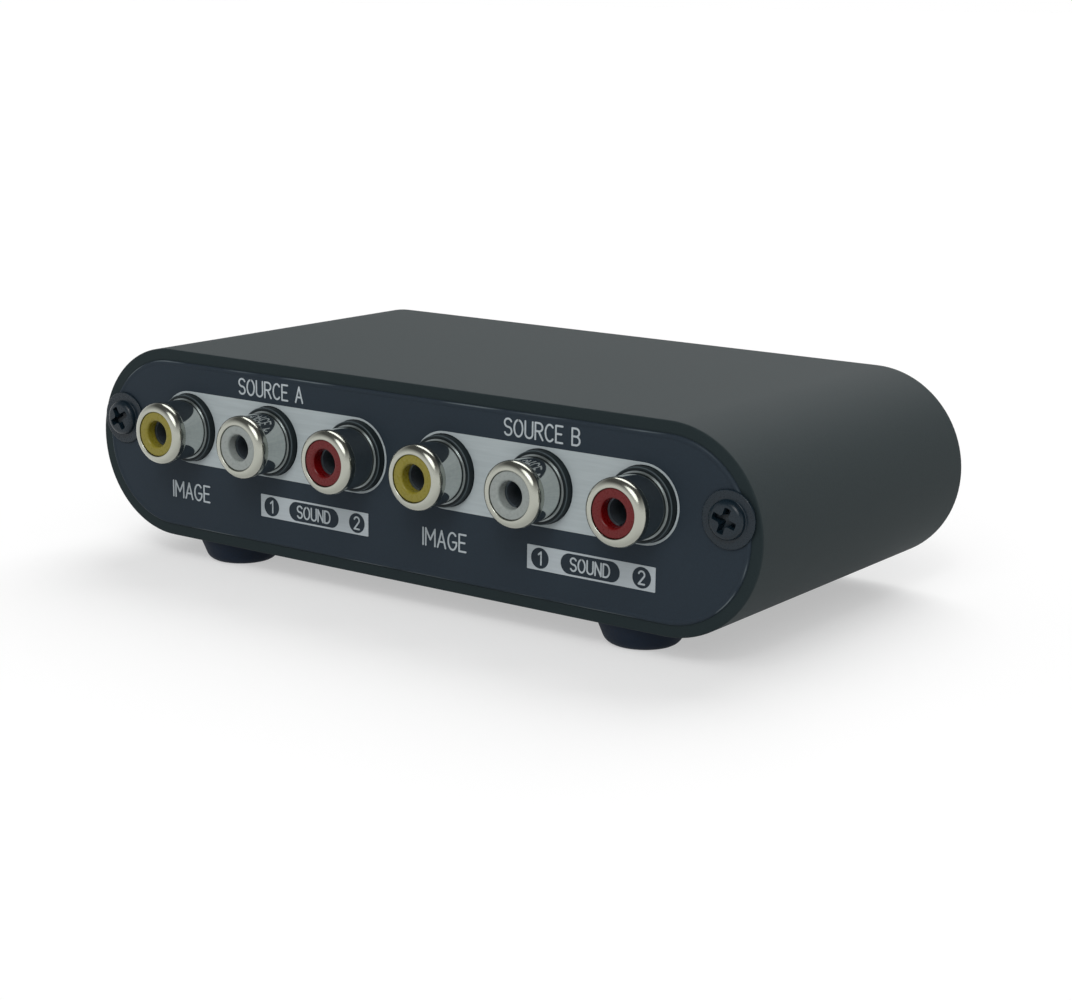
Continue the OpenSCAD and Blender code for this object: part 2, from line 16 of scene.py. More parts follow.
import bpy
import numpy as np
from mathutils import Matrix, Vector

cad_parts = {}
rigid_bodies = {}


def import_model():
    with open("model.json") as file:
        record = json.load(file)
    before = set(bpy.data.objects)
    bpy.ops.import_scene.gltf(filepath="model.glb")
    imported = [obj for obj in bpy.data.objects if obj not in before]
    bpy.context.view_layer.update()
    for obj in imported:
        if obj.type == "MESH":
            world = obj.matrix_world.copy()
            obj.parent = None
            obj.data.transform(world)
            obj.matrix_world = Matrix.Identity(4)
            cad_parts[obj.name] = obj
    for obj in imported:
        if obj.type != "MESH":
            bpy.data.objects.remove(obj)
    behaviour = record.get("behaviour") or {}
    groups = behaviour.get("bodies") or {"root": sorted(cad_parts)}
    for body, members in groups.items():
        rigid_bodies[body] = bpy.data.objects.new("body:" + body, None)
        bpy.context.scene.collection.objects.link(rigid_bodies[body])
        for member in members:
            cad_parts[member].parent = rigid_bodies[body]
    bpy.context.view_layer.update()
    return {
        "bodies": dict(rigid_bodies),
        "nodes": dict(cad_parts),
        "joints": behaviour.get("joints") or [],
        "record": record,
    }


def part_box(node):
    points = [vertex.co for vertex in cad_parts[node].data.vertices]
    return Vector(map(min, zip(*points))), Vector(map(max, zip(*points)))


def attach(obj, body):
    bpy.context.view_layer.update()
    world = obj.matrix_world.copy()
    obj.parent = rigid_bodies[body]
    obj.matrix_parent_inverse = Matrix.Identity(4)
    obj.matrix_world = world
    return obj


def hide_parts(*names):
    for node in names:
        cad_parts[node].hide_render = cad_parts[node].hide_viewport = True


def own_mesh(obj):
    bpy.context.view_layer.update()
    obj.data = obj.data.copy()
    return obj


Array = np.ndarray
Span = Sequence[float]
Nodes = dict[str, bpy.types.Object]
LOG = logging.getLogger("selector_box")
MM = 0.001
# Edges that turn by more than this stay sharp in shading
SHARP = math.radians(32)
# Name of the points' values that say how much painted light or shade lies on a surface
PAINTED_LIGHT = "painted_light"
# Lengths and cosines below this count as zero
ZERO = 1e-9
# Rounding of an edge that is sunk in another piece
HIDDEN = 0.02
# Greatest distance of a holding point from its arc, as shares of the radius and of the straight side
HOLD_ARC, HOLD_SIDE = 0.6, 0.3
# Degrees between the points of a curved stroke
ARC_STEP = 8
# Angle up to which a stroke's round end is drawn, just short of the quarter turn that one point closes
CAP_END = 0.999 * math.pi / 2
NO_TRIS = np.zeros((0, 3), int)


class Side(Enum):
    """End of the tube that a panel closes; the value is the sign of its outward Y direction."""

    FRONT = -1
    REAR = 1


class Pattern(Enum):
    """Kind of fine pattern that a finish carries."""

    GRAIN = "even grain"
    STREAK = "grain drawn out along the width"
    WEAVE = "two crossed sets of threads"


class Cell(Enum):
    """Place of a printed cell in a row of jacks; the value says which ends are round."""

    LEFT = (True, False)
    MIDDLE = (False, False)
    RIGHT = (False, True)


@dataclass
class Surface:
    """Closed surface as arrays."""

    points: Array  # one row of three coordinates for each point, in mm
    quads: Array  # four point numbers for each four-sided face
    tris: Array  # three point numbers for each triangle

    def outward(self) -> Surface:
        """The surface with its faces pointing out.

        The sum of the tetrahedra between each face's triangles and the origin is then positive.

        Returns:
            This surface, or one with all its faces reversed.
        """
        halves = np.concatenate([self.quads[:, [0, 1, 2]], self.quads[:, [0, 2, 3]], self.tris])
        a, b, c = (self.points[halves[:, k]] for k in range(3))
        if np.einsum("ij,ij->", a, np.cross(b, c)) >= 0:
            return self
        return Surface(self.points, self.quads[:, ::-1], self.tris[:, ::-1])

    def at(self, points: Array) -> Surface:
        """The same faces on other points."""
        return Surface(points, self.quads, self.tris)

    def moved(self, offset: Span) -> Surface:
        """The surface moved by an offset."""
        return self.at(self.points + np.array(offset))


@dataclass(frozen=True)
class Box:
    """Box of a CAD node, in mm."""

    low: Array  # lowest corner
    high: Array  # highest corner

    @property
    def middle(self) -> Array:
        """Middle of the box."""
        return (self.low + self.high) / 2

    @property
    def half(self) -> Array:
        """Half the box's size in each direction."""
        return (self.high - self.low) / 2


@dataclass(frozen=True)
class Station:
    """Place on an end panel: local x runs to the right as seen from outside, y up and z outwards."""

    x: float  # place along the width of the box
    y: float  # place of local z = 0 along the depth of the box
    z: float  # height
    side: Side  # the panel

    def place(self, surface: Surface) -> Surface:
        """The surface carried from local coordinates to the row frame."""
        (x, y, z), sign = surface.points.T, self.side.value
        return surface.at(np.stack([self.x - sign * x, self.y + sign * z, self.z + y], -1))


def box_mm(node: str) -> Box:
    """Box of a CAD node."""
    low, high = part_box(node)
    return Box(np.array(low) / MM, np.array(high) / MM)


def panel_face() -> float:
    """Distance of both panels' outer faces from the middle of the box."""
    return box_mm("rear_panel").high[1]


def unit(vectors: Array) -> Array:
    """Vectors brought to length 1."""
    return vectors / np.linalg.norm(vectors, axis=-1, keepdims=True)


def grid_of(x: Array, y: Array, z: Array) -> Array:
    """Grid of points from their coordinates, each repeated over the rows or columns that it lacks."""
    return np.stack(np.broadcast_arrays(x, y, z), -1)


def joined(parts: list[Surface]) -> Surface:
    """Several surfaces as one.

    Args:
        parts: closed surfaces in the same frame.
    Returns:
        One surface that holds all their points and faces.
    """
    starts = np.cumsum([0] + [len(p.points) for p in parts[:-1]])
    return Surface(
        np.concatenate([p.points for p in parts]),
        np.concatenate([p.quads + s for p, s in zip(parts, starts)]),
        np.concatenate([p.tris + s for p, s in zip(parts, starts)]),
    )


def grid_quads(rows: int, cols: int, wrap_rows: bool) -> Array:
    """Faces between the neighbours of a grid whose rows are rings, with points numbered row by row.

    Args:
        rows: rows of points.
        cols: points in a row.
        wrap_rows: the last row joins the first.
    Returns:
        Four point numbers for each face.
    """
    i, j = np.meshgrid(np.arange(rows if wrap_rows else rows - 1), np.arange(cols), indexing="ij")
    down, across = (i + 1) % rows, (j + 1) % cols
    corners = [i * cols + j, i * cols + across, down * cols + across, down * cols + j]
    return np.stack(corners, -1).reshape(-1, 4)


def sleeve(grid: Array) -> Surface:
    """Closed surface, facing out, over a grid that joins up both ways, as on a ring."""
    rows, cols = grid.shape[:2]
    return Surface(grid.reshape(-1, 3), grid_quads(rows, cols, True), NO_TRIS).outward()


def capped(grid: Array, first: Span, last: Span) -> Surface:
    """Closed surface over rings of points, with one more point that closes each end.

    Args:
        grid: rings of points, with three coordinates each.
        first: point that closes the first ring.
        last: point that closes the last ring.
    Returns:
        The surface, facing out.
    """
    rows, cols = grid.shape[:2]
    j = np.arange(cols)
    across = (j + 1) % cols
    low, end = rows * cols, (rows - 1) * cols
    tris = np.concatenate([
        np.stack([np.full(cols, low), across, j], -1),
        np.stack([np.full(cols, low + 1), end + j, end + across], -1),
    ])
    points = np.concatenate([grid.reshape(-1, 3), [first, last]])
    return Surface(points, grid_quads(rows, cols, False), tris).outward()


def rounded(corners: Sequence[Span], radii: float | Span, closed: bool = True, steps: int = 6) -> Array:
    """Flat outline whose corners are arcs.

    Each corner becomes an arc that touches both its sides, and one more holding point on each side of
    the arc keeps the flats flat when the surface is shaded smooth.

    Args:
        corners: x and y of each corner; the two ends of an open outline stay as they are.
        radii: radius of each corner except such ends, or one for all.
        closed: the outline joins up.
        steps: chords of an arc.
    Returns:
        Points of the outline, two coordinates each.
    """
    data = np.array(corners, float)
    around = np.concatenate([data[-1:], data, data[:1]]) if closed else data
    here = around[1:-1]
    radius = np.array(np.broadcast_to(radii, len(here)), float)[:, None]
    sides = [around[:-2] - here, around[2:] - here]
    lengths = [np.linalg.norm(side, axis=1, keepdims=True) for side in sides]
    to_before, to_after = (side / length for side, length in zip(sides, lengths))
    half = np.arccos(np.clip((to_before * to_after).sum(1, keepdims=True), -1, 1)) / 2
    reach = radius / np.tan(half)
    centre = here + unit(to_before + to_after) * radius / np.sin(half)
    start, end = here + to_before * reach - centre, here + to_after * reach - centre
    begin = np.arctan2(start[:, 1:], start[:, :1])
    sweep = (np.arctan2(end[:, 1:], end[:, :1]) - begin + np.pi) % (2 * np.pi) - np.pi
    angle = begin + sweep * np.linspace(0, 1, steps + 1)
    bend = centre[:, None] + radius[:, None] * np.stack([np.cos(angle), np.sin(angle)], -1)
    beyond = (reach[-1:], reach[:1]) if closed else (np.zeros((1, 1)), np.zeros((1, 1)))
    taken = [np.concatenate([beyond[0], reach[:-1]]), np.concatenate([reach[1:], beyond[1]])]
    holds = [np.minimum(HOLD_ARC * radius, HOLD_SIDE * (length - reach - other))
             for length, other in zip(lengths, taken)]
    lead = (bend[:, 0] + to_before * holds[0])[:, None]
    trail = (bend[:, -1] + to_after * holds[1])[:, None]
    outline = np.concatenate([lead, bend, trail], 1).reshape(-1, 2)
    return outline if closed else np.concatenate([data[:1], outline, data[-1:]])


def rectangle(x: Span, y: Span, radii: float | Span, steps: int = 6) -> Array:
    """Rounded rectangle between two x and two y; its radii go round from the lowest corner along x."""
    return rounded([(x[0], y[0]), (x[1], y[0]), (x[1], y[1]), (x[0], y[1])], radii, True, steps)


def turned(profile: Array, sides: int = 96) -> Surface:
    """Profile turned about the local axis: (r, s) becomes (r cos a, r sin a, s) for every angle a.

    Args:
        profile: radius and height of each point. A loop gives a ring. A line that starts and ends on
            the axis gives a solid, whose two poles are single points.
        sides: steps of the full turn.
    Returns:
        The surface in local coordinates, facing out.
    """
    a = np.arange(sides) * 2 * np.pi / sides
    solid = profile[0, 0] < ZERO and profile[-1, 0] < ZERO
    r, s = np.hsplit(profile[1:-1] if solid else profile, 2)
    grid = grid_of(r * np.cos(a), r * np.sin(a), s)
    if not solid:
        return sleeve(grid)
    return capped(grid, (0, 0, profile[0, 1]), (0, 0, profile[-1, 1]))


def extruded(outline: Array, heights: Span) -> Surface:
    """Flat outline carried along z, each end closed from its middle.

    Args:
        outline: points in x and y; each is seen from the outline's middle.
        heights: heights of the outline's copies, in order.
    Returns:
        The surface, facing out.
    """
    middle = outline.mean(0)
    grid = grid_of(*outline.T, np.array(heights)[:, None])
    return capped(grid, (*middle, heights[0]), (*middle, heights[-1]))


def block(x: Span, y: Span, z: Span, edge: float) -> Surface:
    """Box between two x, two y and two z, whose edges along z are rounded."""
    return extruded(rectangle(x, y, edge, 3), (z[0], z[0] + edge, z[1] - edge, z[1]))


def framed_hole(inner: float, half_w: float, half_h: float, cell: Cell, top: float,
                steps: int = 8) -> Surface:
    """Thin cell of print around a round hole, from height 0 up.

    At angle a the cell runs from the hole's radius out to the nearer of two lines, half_w / |cos a|
    and half_h / |sin a|, or to the radius half_h on an end that is round.

    Args:
        inner: radius of the hole.
        half_w: half the width of the cell.
        half_h: half the height of the cell, which is also the radius of a round end.
        cell: which ends are round.
        top: height of the upper face.
        steps: steps from a middle line of the cell to a corner.
    Returns:
        The surface about the hole's middle, facing out.
    """
    corner = math.atan2(half_h, half_w)
    marks = np.array([0, corner, np.pi / 2, np.pi - corner])
    marks = np.concatenate([marks, marks + np.pi, [2 * np.pi]])
    spans = len(marks) - 1
    a = np.interp(np.arange(spans * steps) / steps, np.arange(spans + 1), marks)
    cos, sin = np.cos(a), np.sin(a)
    square = np.minimum(half_w / np.maximum(np.abs(cos), ZERO), half_h / np.maximum(np.abs(sin), ZERO))
    left_round, right_round = cell.value
    is_round = (left_round & (cos < -ZERO)) | (right_round & (cos > ZERO))
    outer = np.where(is_round, half_h, square)
    hole = np.full_like(a, inner)
    radius = np.stack([hole, hole, outer, outer])
    return sleeve(grid_of(radius * cos, radius * sin, np.array([[0], [top], [top], [0]])))


def ribbon(path: Array, width: float, base: float, top: float, cap_steps: int = 5) -> Surface:
    """Stroke of print: a flat band along a smooth path, whose ends are round.

    The band's edges lie half the width h to each side of the path. Beyond each end the half width is
    h cos a at the distance h sin a, which draws a half circle.

    Args:
        path: points in x and y.
        width: width of the band.
        base: height of the lower face.
        top: height of the upper face.
        cap_steps: steps of a round end.
    Returns:
        The surface, facing out.
    """
    half = width / 2
    tangent = unit(np.gradient(path, axis=0))
    a = np.linspace(0, CAP_END, cap_steps + 1)[1:-1, None]
    cap, narrow = half * np.sin(a), half * np.cos(a)
    line = np.concatenate([path[0] - tangent[0] * cap[::-1], path, path[-1] + tangent[-1] * cap])
    along = np.pad(tangent, ((len(cap), len(cap)), (0, 0)), "edge")
    reach = np.concatenate([narrow[::-1], np.full((len(path), 1), half), narrow])
    offset = np.stack([-along[:, 1], along[:, 0]], -1) * reach
    x, y = np.stack([line + offset, line + offset, line - offset, line - offset], 1).transpose(2, 0, 1)
    grid = grid_of(x, y, np.array([base, top, top, base]))
    middle = (base + top) / 2
    first, last = path[0] - tangent[0] * half, path[-1] + tangent[-1] * half
    return capped(grid, (*first, middle), (*last, middle))


def coil(radius: float, wire: float, low: float, high: float, turns: int, steps: int = 36,
         sides: int = 12) -> Surface:
    """Coil spring: a circle of the wire's radius carried along a helix.

    The helix is (R cos t, R sin t, low + pitch t), and the circle stands square to its direction.

    Args:
        radius: mean radius of the coil.
        wire: radius of the wire.
        low: height of the wire's middle at the first end.
        high: height of the wire's middle at the last end.
        turns: number of turns.
        steps: steps of a turn.
        sides: steps round the wire.
    Returns:
        The surface in local coordinates, facing out.
    """
    t = np.linspace(0, 2 * np.pi * turns, steps * turns + 1)[:, None]
    k = (np.arange(sides) * 2 * np.pi / sides)[None]
    slope = math.atan((high - low) / turns / (2 * np.pi * radius))
    out, lift = radius + wire * np.cos(k), wire * np.sin(k)
    rise = low + (high - low) * t / t[-1]
    lean = lift * math.sin(slope)
    grid = grid_of(out * np.cos(t) + lean * np.sin(t), out * np.sin(t) - lean * np.cos(t),
                   rise + lift * math.cos(slope))
    return capped(grid, grid[0].mean(0), grid[-1].mean(0))


def stadium(half_w: float, half_h: float, straight: int = 24, ends: int = 48) -> tuple[Array, Array]:
    """Outline with full round ends, split into a core line and an outward direction.

    The outline's point is core + direction * half_h. A smaller half_h draws the same outline inset.

    Args:
        half_w: half the width.
        half_h: half the height, the radius of the ends.
        straight: steps of a straight side.
        ends: steps of a round end.
    Returns:
        Core points and outward directions, two coordinates each.
    """
    side = half_w - half_h
    x = np.linspace(side, -side, straight, endpoint=False)
    a = np.linspace(np.pi / 2, 3 * np.pi / 2, ends, endpoint=False)
    core = np.concatenate([np.stack([x, 0 * x], -1), np.stack([0 * a - side, 0 * a], -1)])
    direction = np.concatenate([np.stack([0 * x, 0 * x + 1], -1), np.stack([np.cos(a), np.sin(a)], -1)])
    return np.concatenate([core, -core]), np.concatenate([direction, -direction])


def swept(box: Box, section: Array) -> Surface:
    """Section carried round the outline with full round ends that fills a box in x and z.

    The section's point (inset, y) lies on that outline drawn at this inset, at depth y.

    Args:
        box: the box.
        section: inset and depth of each point.
    Returns:
        The surface, facing out.
    """
    half_w, _, half_h = box.half
    core, direction = stadium(half_w, half_h)
    inset, y = np.hsplit(section, 2)
    x, z = (core[:, k] + direction[:, k] * (half_h - inset) for k in range(2))
    return sleeve(grid_of(x, y, z + box.middle[2]))


def linear(code: str) -> tuple[float, float, float, float]:
    """Linear colour by the sRGB standard's curve.

    Args:
        code: six-digit sRGB code after a hash sign.
    Returns:
        Linear red, green and blue, and full opacity.
    """
    share = np.array([int(code[k:k + 2], 16) for k in (1, 3, 5)]) / 255
    value = np.where(share <= 0.04045, share / 12.92, ((share + 0.055) / 1.055) ** 2.4)
    return (*value.tolist(), 1.0)


def empty_tree(owner: bpy.types.Material | bpy.types.World) -> bpy.types.NodeTree:
    """Node tree of a material or world, emptied.

    Args:
        owner: the material or world.
    Returns:
        Its tree.
    """
    owner.use_nodes = True
    owner.node_tree.nodes.clear()
    return owner.node_tree


def add_node(tree: bpy.types.NodeTree, kind: str, settings: dict[str | int, object] | None = None,
             links: dict[str | int, bpy.types.NodeSocket] | None = None) -> bpy.types.Node:
    """Adds a node with its settings and links.

    Args:
        tree: the node tree.
        kind: Blender's name of the node.
        settings: values by the name of a property or, if there is none, of an input.
        links: sockets by the name of the input that they feed.
    Returns:
        The node.
    """
    node = tree.nodes.new(kind)
    for name, value in (settings or {}).items():
        if isinstance(name, str) and hasattr(node, name):
            setattr(node, name, value)
        else:
            node.inputs[name].default_value = value
    for name, socket in (links or {}).items():
        tree.links.new(socket, node.inputs[name])
    return node


# The wave node repeats every 2 pi / 20 of its unit, so this makes a thread as wide as the pattern's size
THREAD_SCALE = 6.3
THREAD_WANDER = 0.4
# Share of its own scale that a streaked pattern keeps along the width
STREAK_SCALE = (0.06, 1.0, 1.0)
GRAIN_NOISE = {"Detail": 3.0, "Roughness": 0.6}
CLOUD_NOISE = {"Detail": 2.0}
# The noise lies between these values, which become 0 and 1
GRAIN_RANGE = {"From Min": 0.3, "From Max": 0.7}
# Colour sockets of the mix node, which share their names with its plain ones
MIX_SHARE, MIX_FROM, MIX_TO, MIX_RESULT = 0, 6, 7, 2


@dataclass(frozen=True)
class Finish:
    """Finish of one material: a fine pattern that moves its colour, gloss and relief a little."""

    name: str  # real material and how its surface was made
    base: str  # main colour
    fleck: str  # colour at the other end of the pattern
    size: float  # real size of the pattern
    rough: tuple[float, float]  # least and greatest roughness
    metallic: float = 0.0  # 1 for bare metal
    ior: float | None = None  # refraction index, left at the default for metals
    relief: float = 0.0  # height of the pattern
    pattern: Pattern = Pattern.GRAIN  # kind of pattern
    cloud: float = 18.0  # size of the slow change that lies over the fine pattern
    cloud_share: float = 0.3  # how much of the mix is the slow change
    painted_light: str = ""  # colour of painted light or shade, empty if the surface has none
    painted_light_rough: float = 0.0  # roughness there

    def material(self) -> bpy.types.Material:
        """The Blender material, made once."""
        return bpy.data.materials.get(self.name) or self._build()

    def _pattern(self, tree: bpy.types.NodeTree, spot: bpy.types.NodeSocket) -> bpy.types.NodeSocket:
        """Adds the fine pattern.

        Args:
            tree: the material's tree.
            spot: socket with the place on the object.
        Returns:
            Socket with the pattern's value from 0 to 1.
        """
        scale = 1 / (self.size * MM)
        if self.pattern is Pattern.WEAVE:
            threads = {"Scale": scale / THREAD_SCALE, "Distortion": THREAD_WANDER}
            waves = [add_node(tree, "ShaderNodeTexWave", {"bands_direction": axis, **threads}, {
                "Vector": spot}) for axis in ("X", "Y")]
            return add_node(tree, "ShaderNodeMath", {"operation": "MAXIMUM"}, {
                k: wave.outputs["Fac"] for k, wave in enumerate(waves)}).outputs[0]
        if self.pattern is Pattern.STREAK:
            spot = add_node(tree, "ShaderNodeMapping", {"Scale": STREAK_SCALE}, {
                "Vector": spot}).outputs["Vector"]
        noise = add_node(tree, "ShaderNodeTexNoise", {"Scale": scale, **GRAIN_NOISE}, {"Vector": spot})
        return add_node(tree, "ShaderNodeMapRange", GRAIN_RANGE, {
            "Value": noise.outputs["Fac"]}).outputs["Result"]

    def _build(self) -> bpy.types.Material:
        """Builds the nodes: pattern and slow change, then colour, roughness and relief from their mix.

        Returns:
            The new material.
        """
        material = bpy.data.materials.new(self.name)
        tree = empty_tree(material)
        spot = add_node(tree, "ShaderNodeTexCoord").outputs["Object"]
        fine = self._pattern(tree, spot)
        slow = add_node(tree, "ShaderNodeTexNoise", {"Scale": 1 / (self.cloud * MM), **CLOUD_NOISE}, {
            "Vector": spot}).outputs["Fac"]
        mixed = add_node(tree, "ShaderNodeMix", {"Factor": self.cloud_share}, {
            "A": fine, "B": slow}).outputs["Result"]
        ramp = add_node(tree, "ShaderNodeValToRGB", links={"Fac": mixed})
        for element, code in zip(ramp.color_ramp.elements, (self.base, self.fleck)):
            element.color = linear(code)
        rough = add_node(tree, "ShaderNodeMapRange", {"To Min": self.rough[0], "To Max": self.rough[1]}, {
            "Value": mixed})
        colour, gloss = ramp.outputs["Color"], rough.outputs["Result"]
        # Painted light or shade: a second colour and roughness, mixed in by the points' values
        if self.painted_light:
            share = add_node(tree, "ShaderNodeAttribute", {"attribute_name": PAINTED_LIGHT}).outputs["Fac"]
            colour = add_node(tree, "ShaderNodeMix", {"data_type": "RGBA", MIX_TO: linear(self.painted_light)}, {
                MIX_SHARE: share, MIX_FROM: colour}).outputs[MIX_RESULT]
            gloss = add_node(tree, "ShaderNodeMix", {"B": self.painted_light_rough}, {
                "Factor": share, "A": gloss}).outputs["Result"]
        values = {"Metallic": self.metallic}
        if self.ior:
            values["IOR"] = self.ior
        links = {"Base Color": colour, "Roughness": gloss}
        if self.relief:
            links["Normal"] = add_node(tree, "ShaderNodeBump", {"Distance": self.relief * MM}, {
                "Height": fine}).outputs["Normal"]
        shader = add_node(tree, "ShaderNodeBsdfPrincipled", values, links)
        add_node(tree, "ShaderNodeOutputMaterial", links={"Surface": shader.outputs["BSDF"]})
        return material


# Dyed oxide on blasted metal: dark and even, with a dry sheen that spreads wide. The blast grain is
# about 0.1 mm and is drawn coarser so that it shows. A darker colour on the tube's ends is painted shade.
TUBE_ANODISED = Finish("aluminium_blasted_black_anodised", "#2c3537", "#353e40", 0.3, (0.72, 0.82), ior=1.35,
                       relief=0.006, cloud=30.0, painted_light="#1b282b", painted_light_rough=0.75)
# The same process on rolled sheet: smoother, with a blue cast in the dye. A lighter grey along the edge is a
# painted highlight.
PANEL_ANODISED = Finish("aluminium_sheet_black_anodised", "#1d2933", "#24313c", 0.3, (0.7, 0.8), ior=1.4,
                        relief=0.004, cloud=26.0, painted_light="#6c777b", painted_light_rough=0.5)
# Black oxide under oil: nearly black steel with a tight soft highlight.
OXIDE_STEEL = Finish("steel_black_oxide", "#101d26", "#182832", 0.25, (0.24, 0.32), ior=1.38, relief=0.002)
# Moulded rubber: dull and dark, with the fine texture of the mould.
RUBBER = Finish("rubber_moulded", "#0a1726", "#102032", 0.4, (0.7, 0.8), ior=1.35, relief=0.01)
# Bright nickel over brass: a clear mirror. The rolled lips carry painted shade: a greyer colour, with a
# softer gloss.
NICKEL = Finish("brass_bright_nickel_plated", "#d2d4d0", "#c7c9c5", 0.5, (0.05, 0.09), metallic=1.0,
                cloud=6.0, painted_light="#abada3", painted_light_rough=0.18)
# The same plate on the base flange, in a darker grey that is painted shade, with a softer gloss.
NICKEL_PAINTED_SHADE = Finish("brass_nickel_plated_painted_shade", "#868d8e", "#7c8384", 0.5, (0.28, 0.36), metallic=1.0,
                       cloud=6.0)
# Moulded plastics of the jacks' insulators: full colour, half gloss from a polished mould.
POLISHED_MOULD = {"size": 0.4, "rough": (0.24, 0.32), "ior": 1.38, "relief": 0.0015}
YELLOW = Finish("polypropylene_moulded_yellow", "#867d29", "#908631", **POLISHED_MOULD)
WHITE = Finish("polypropylene_moulded_white", "#969d9a", "#a0a7a4", **POLISHED_MOULD)
RED = Finish("polypropylene_moulded_red", "#630608", "#6c0b0d", **POLISHED_MOULD)
# Moulded without gloss: the jacks' black bodies. A lighter grey on the edge of the collar is a painted
# highlight.
JACK_BLACK = Finish("nylon_moulded_black", "#151d20", "#1d2629", 0.35, (0.36, 0.48), ior=1.25, relief=0.004,
                    painted_light="#505b5f", painted_light_rough=0.4)
# Plastics of the button and its switch: half matt, from moulds with a fine even texture.
BUTTON_BLACK = Finish("abs_moulded_black", "#16181b", "#212427", 0.4, (0.38, 0.5), ior=1.54, relief=0.006)
SWITCH_CREAM = Finish("polyamide_moulded_cream", "#cfc8b4", "#dbd5c4", 0.4, (0.4, 0.52), ior=1.53,
                      relief=0.005)
SLIDER_WHITE = Finish("acetal_moulded_white", "#dedbd0", "#eae7de", 0.4, (0.3, 0.4), ior=1.48, relief=0.004)
# Tin over the jacks' spring tubes: pale grey and matt, with hardly any mirror left.
TINNED = Finish("brass_dull_tinned", "#8d98a1", "#7e8992", 0.3, (0.5, 0.65), metallic=1.0, cloud=4.0)
# Contact metal inside the switch: brass gone dull.
BRASS = Finish("brass_drawn_dull", "#6d5a34", "#8a7444", 0.3, (0.3, 0.45), metallic=1.0, cloud=4.0)
# Drawn spring steel: grey, with a broken mirror.
STEEL = Finish("steel_spring_drawn", "#b3b6b8", "#9a9da0", 0.2, (0.2, 0.34), metallic=1.0, cloud=5.0)
# Glass cloth under green solder mask: a faint weave in a half-gloss coat.
LAMINATE = Finish("glass_laminate_solder_mask", "#12432a", "#1a5636", 0.5, (0.28, 0.36), ior=1.55,
                  relief=0.004, pattern=Pattern.WEAVE)
# Screen inks: dry and even, with faint streaks from the squeegee.
SILVER_INK = Finish("screen_ink_silver_grey", "#acb7ba", "#bfc9cc", 0.35, (0.5, 0.62), ior=1.5, relief=0.002,
                    pattern=Pattern.STREAK, cloud_share=0.45)
WHITE_INK = Finish("screen_ink_white", "#b5bfc4", "#c3ccd1", 0.3, (0.5, 0.6), ior=1.5, relief=0.002,
                   pattern=Pattern.STREAK)
BLACK_INK = Finish("screen_ink_black", "#1a252e", "#222e38", 0.3, (0.7, 0.8), ior=1.4, relief=0.002,
                   pattern=Pattern.STREAK)


def link_object(name: str, data: bpy.types.ID) -> bpy.types.Object:
    """Makes an object and links it to the scene.

    Args:
        name: its name.
        data: its mesh, light or camera.
    Returns:
        The object, at the origin.
    """
    made = bpy.data.objects.new(name, data)
    bpy.context.scene.collection.objects.link(made)
    return made


def make_piece(name: str, surface: Surface, finish: Finish, nodes: tuple[str, ...] = (),
               painted_light: Array | None = None, body: str = "case") -> bpy.types.Object:
    """Makes a piece of the object from a surface, shaded smooth but for its sharp edges.

    Args:
        name: name of the piece.
        surface: its surface in the row frame, in mm.
        finish: its finish.
        nodes: CAD nodes that it stands for.
        painted_light: share of painted light or shade at each point, from 0 to 1.
        body: CAD body that it rides on.
    Returns:
        The object, at the origin.
    """
    mesh = bpy.data.meshes.new(name)
    mesh.from_pydata((surface.points * MM).tolist(), [], surface.quads.tolist() + surface.tris.tolist())
    mesh.polygons.foreach_set("use_smooth", np.full(len(mesh.polygons), True))
    mesh.set_sharp_from_angle(angle=SHARP)
    mesh.materials.append(finish.material())
    if painted_light is not None:
        mesh.attributes.new(PAINTED_LIGHT, "FLOAT", "POINT").data.foreach_set("value", painted_light.astype(np.float32))
    mesh.update()
    piece = link_object(name, mesh)
    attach(piece, body)
    if nodes:
        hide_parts(*nodes)
    LOG.info("piece %s: %d faces, %s", name, len(mesh.polygons), finish.name)
    return piece


def dress(nodes: Nodes, name: str, finish: Finish) -> None:
    """Gives a CAD node that stays its finish.

    Args:
        nodes: CAD nodes by name.
        name: the node.
        finish: its finish.
    """
    materials = nodes[name].data.materials
    materials.clear()
    materials.append(finish.material())
    LOG.info("node %s: %s", name, finish.name)


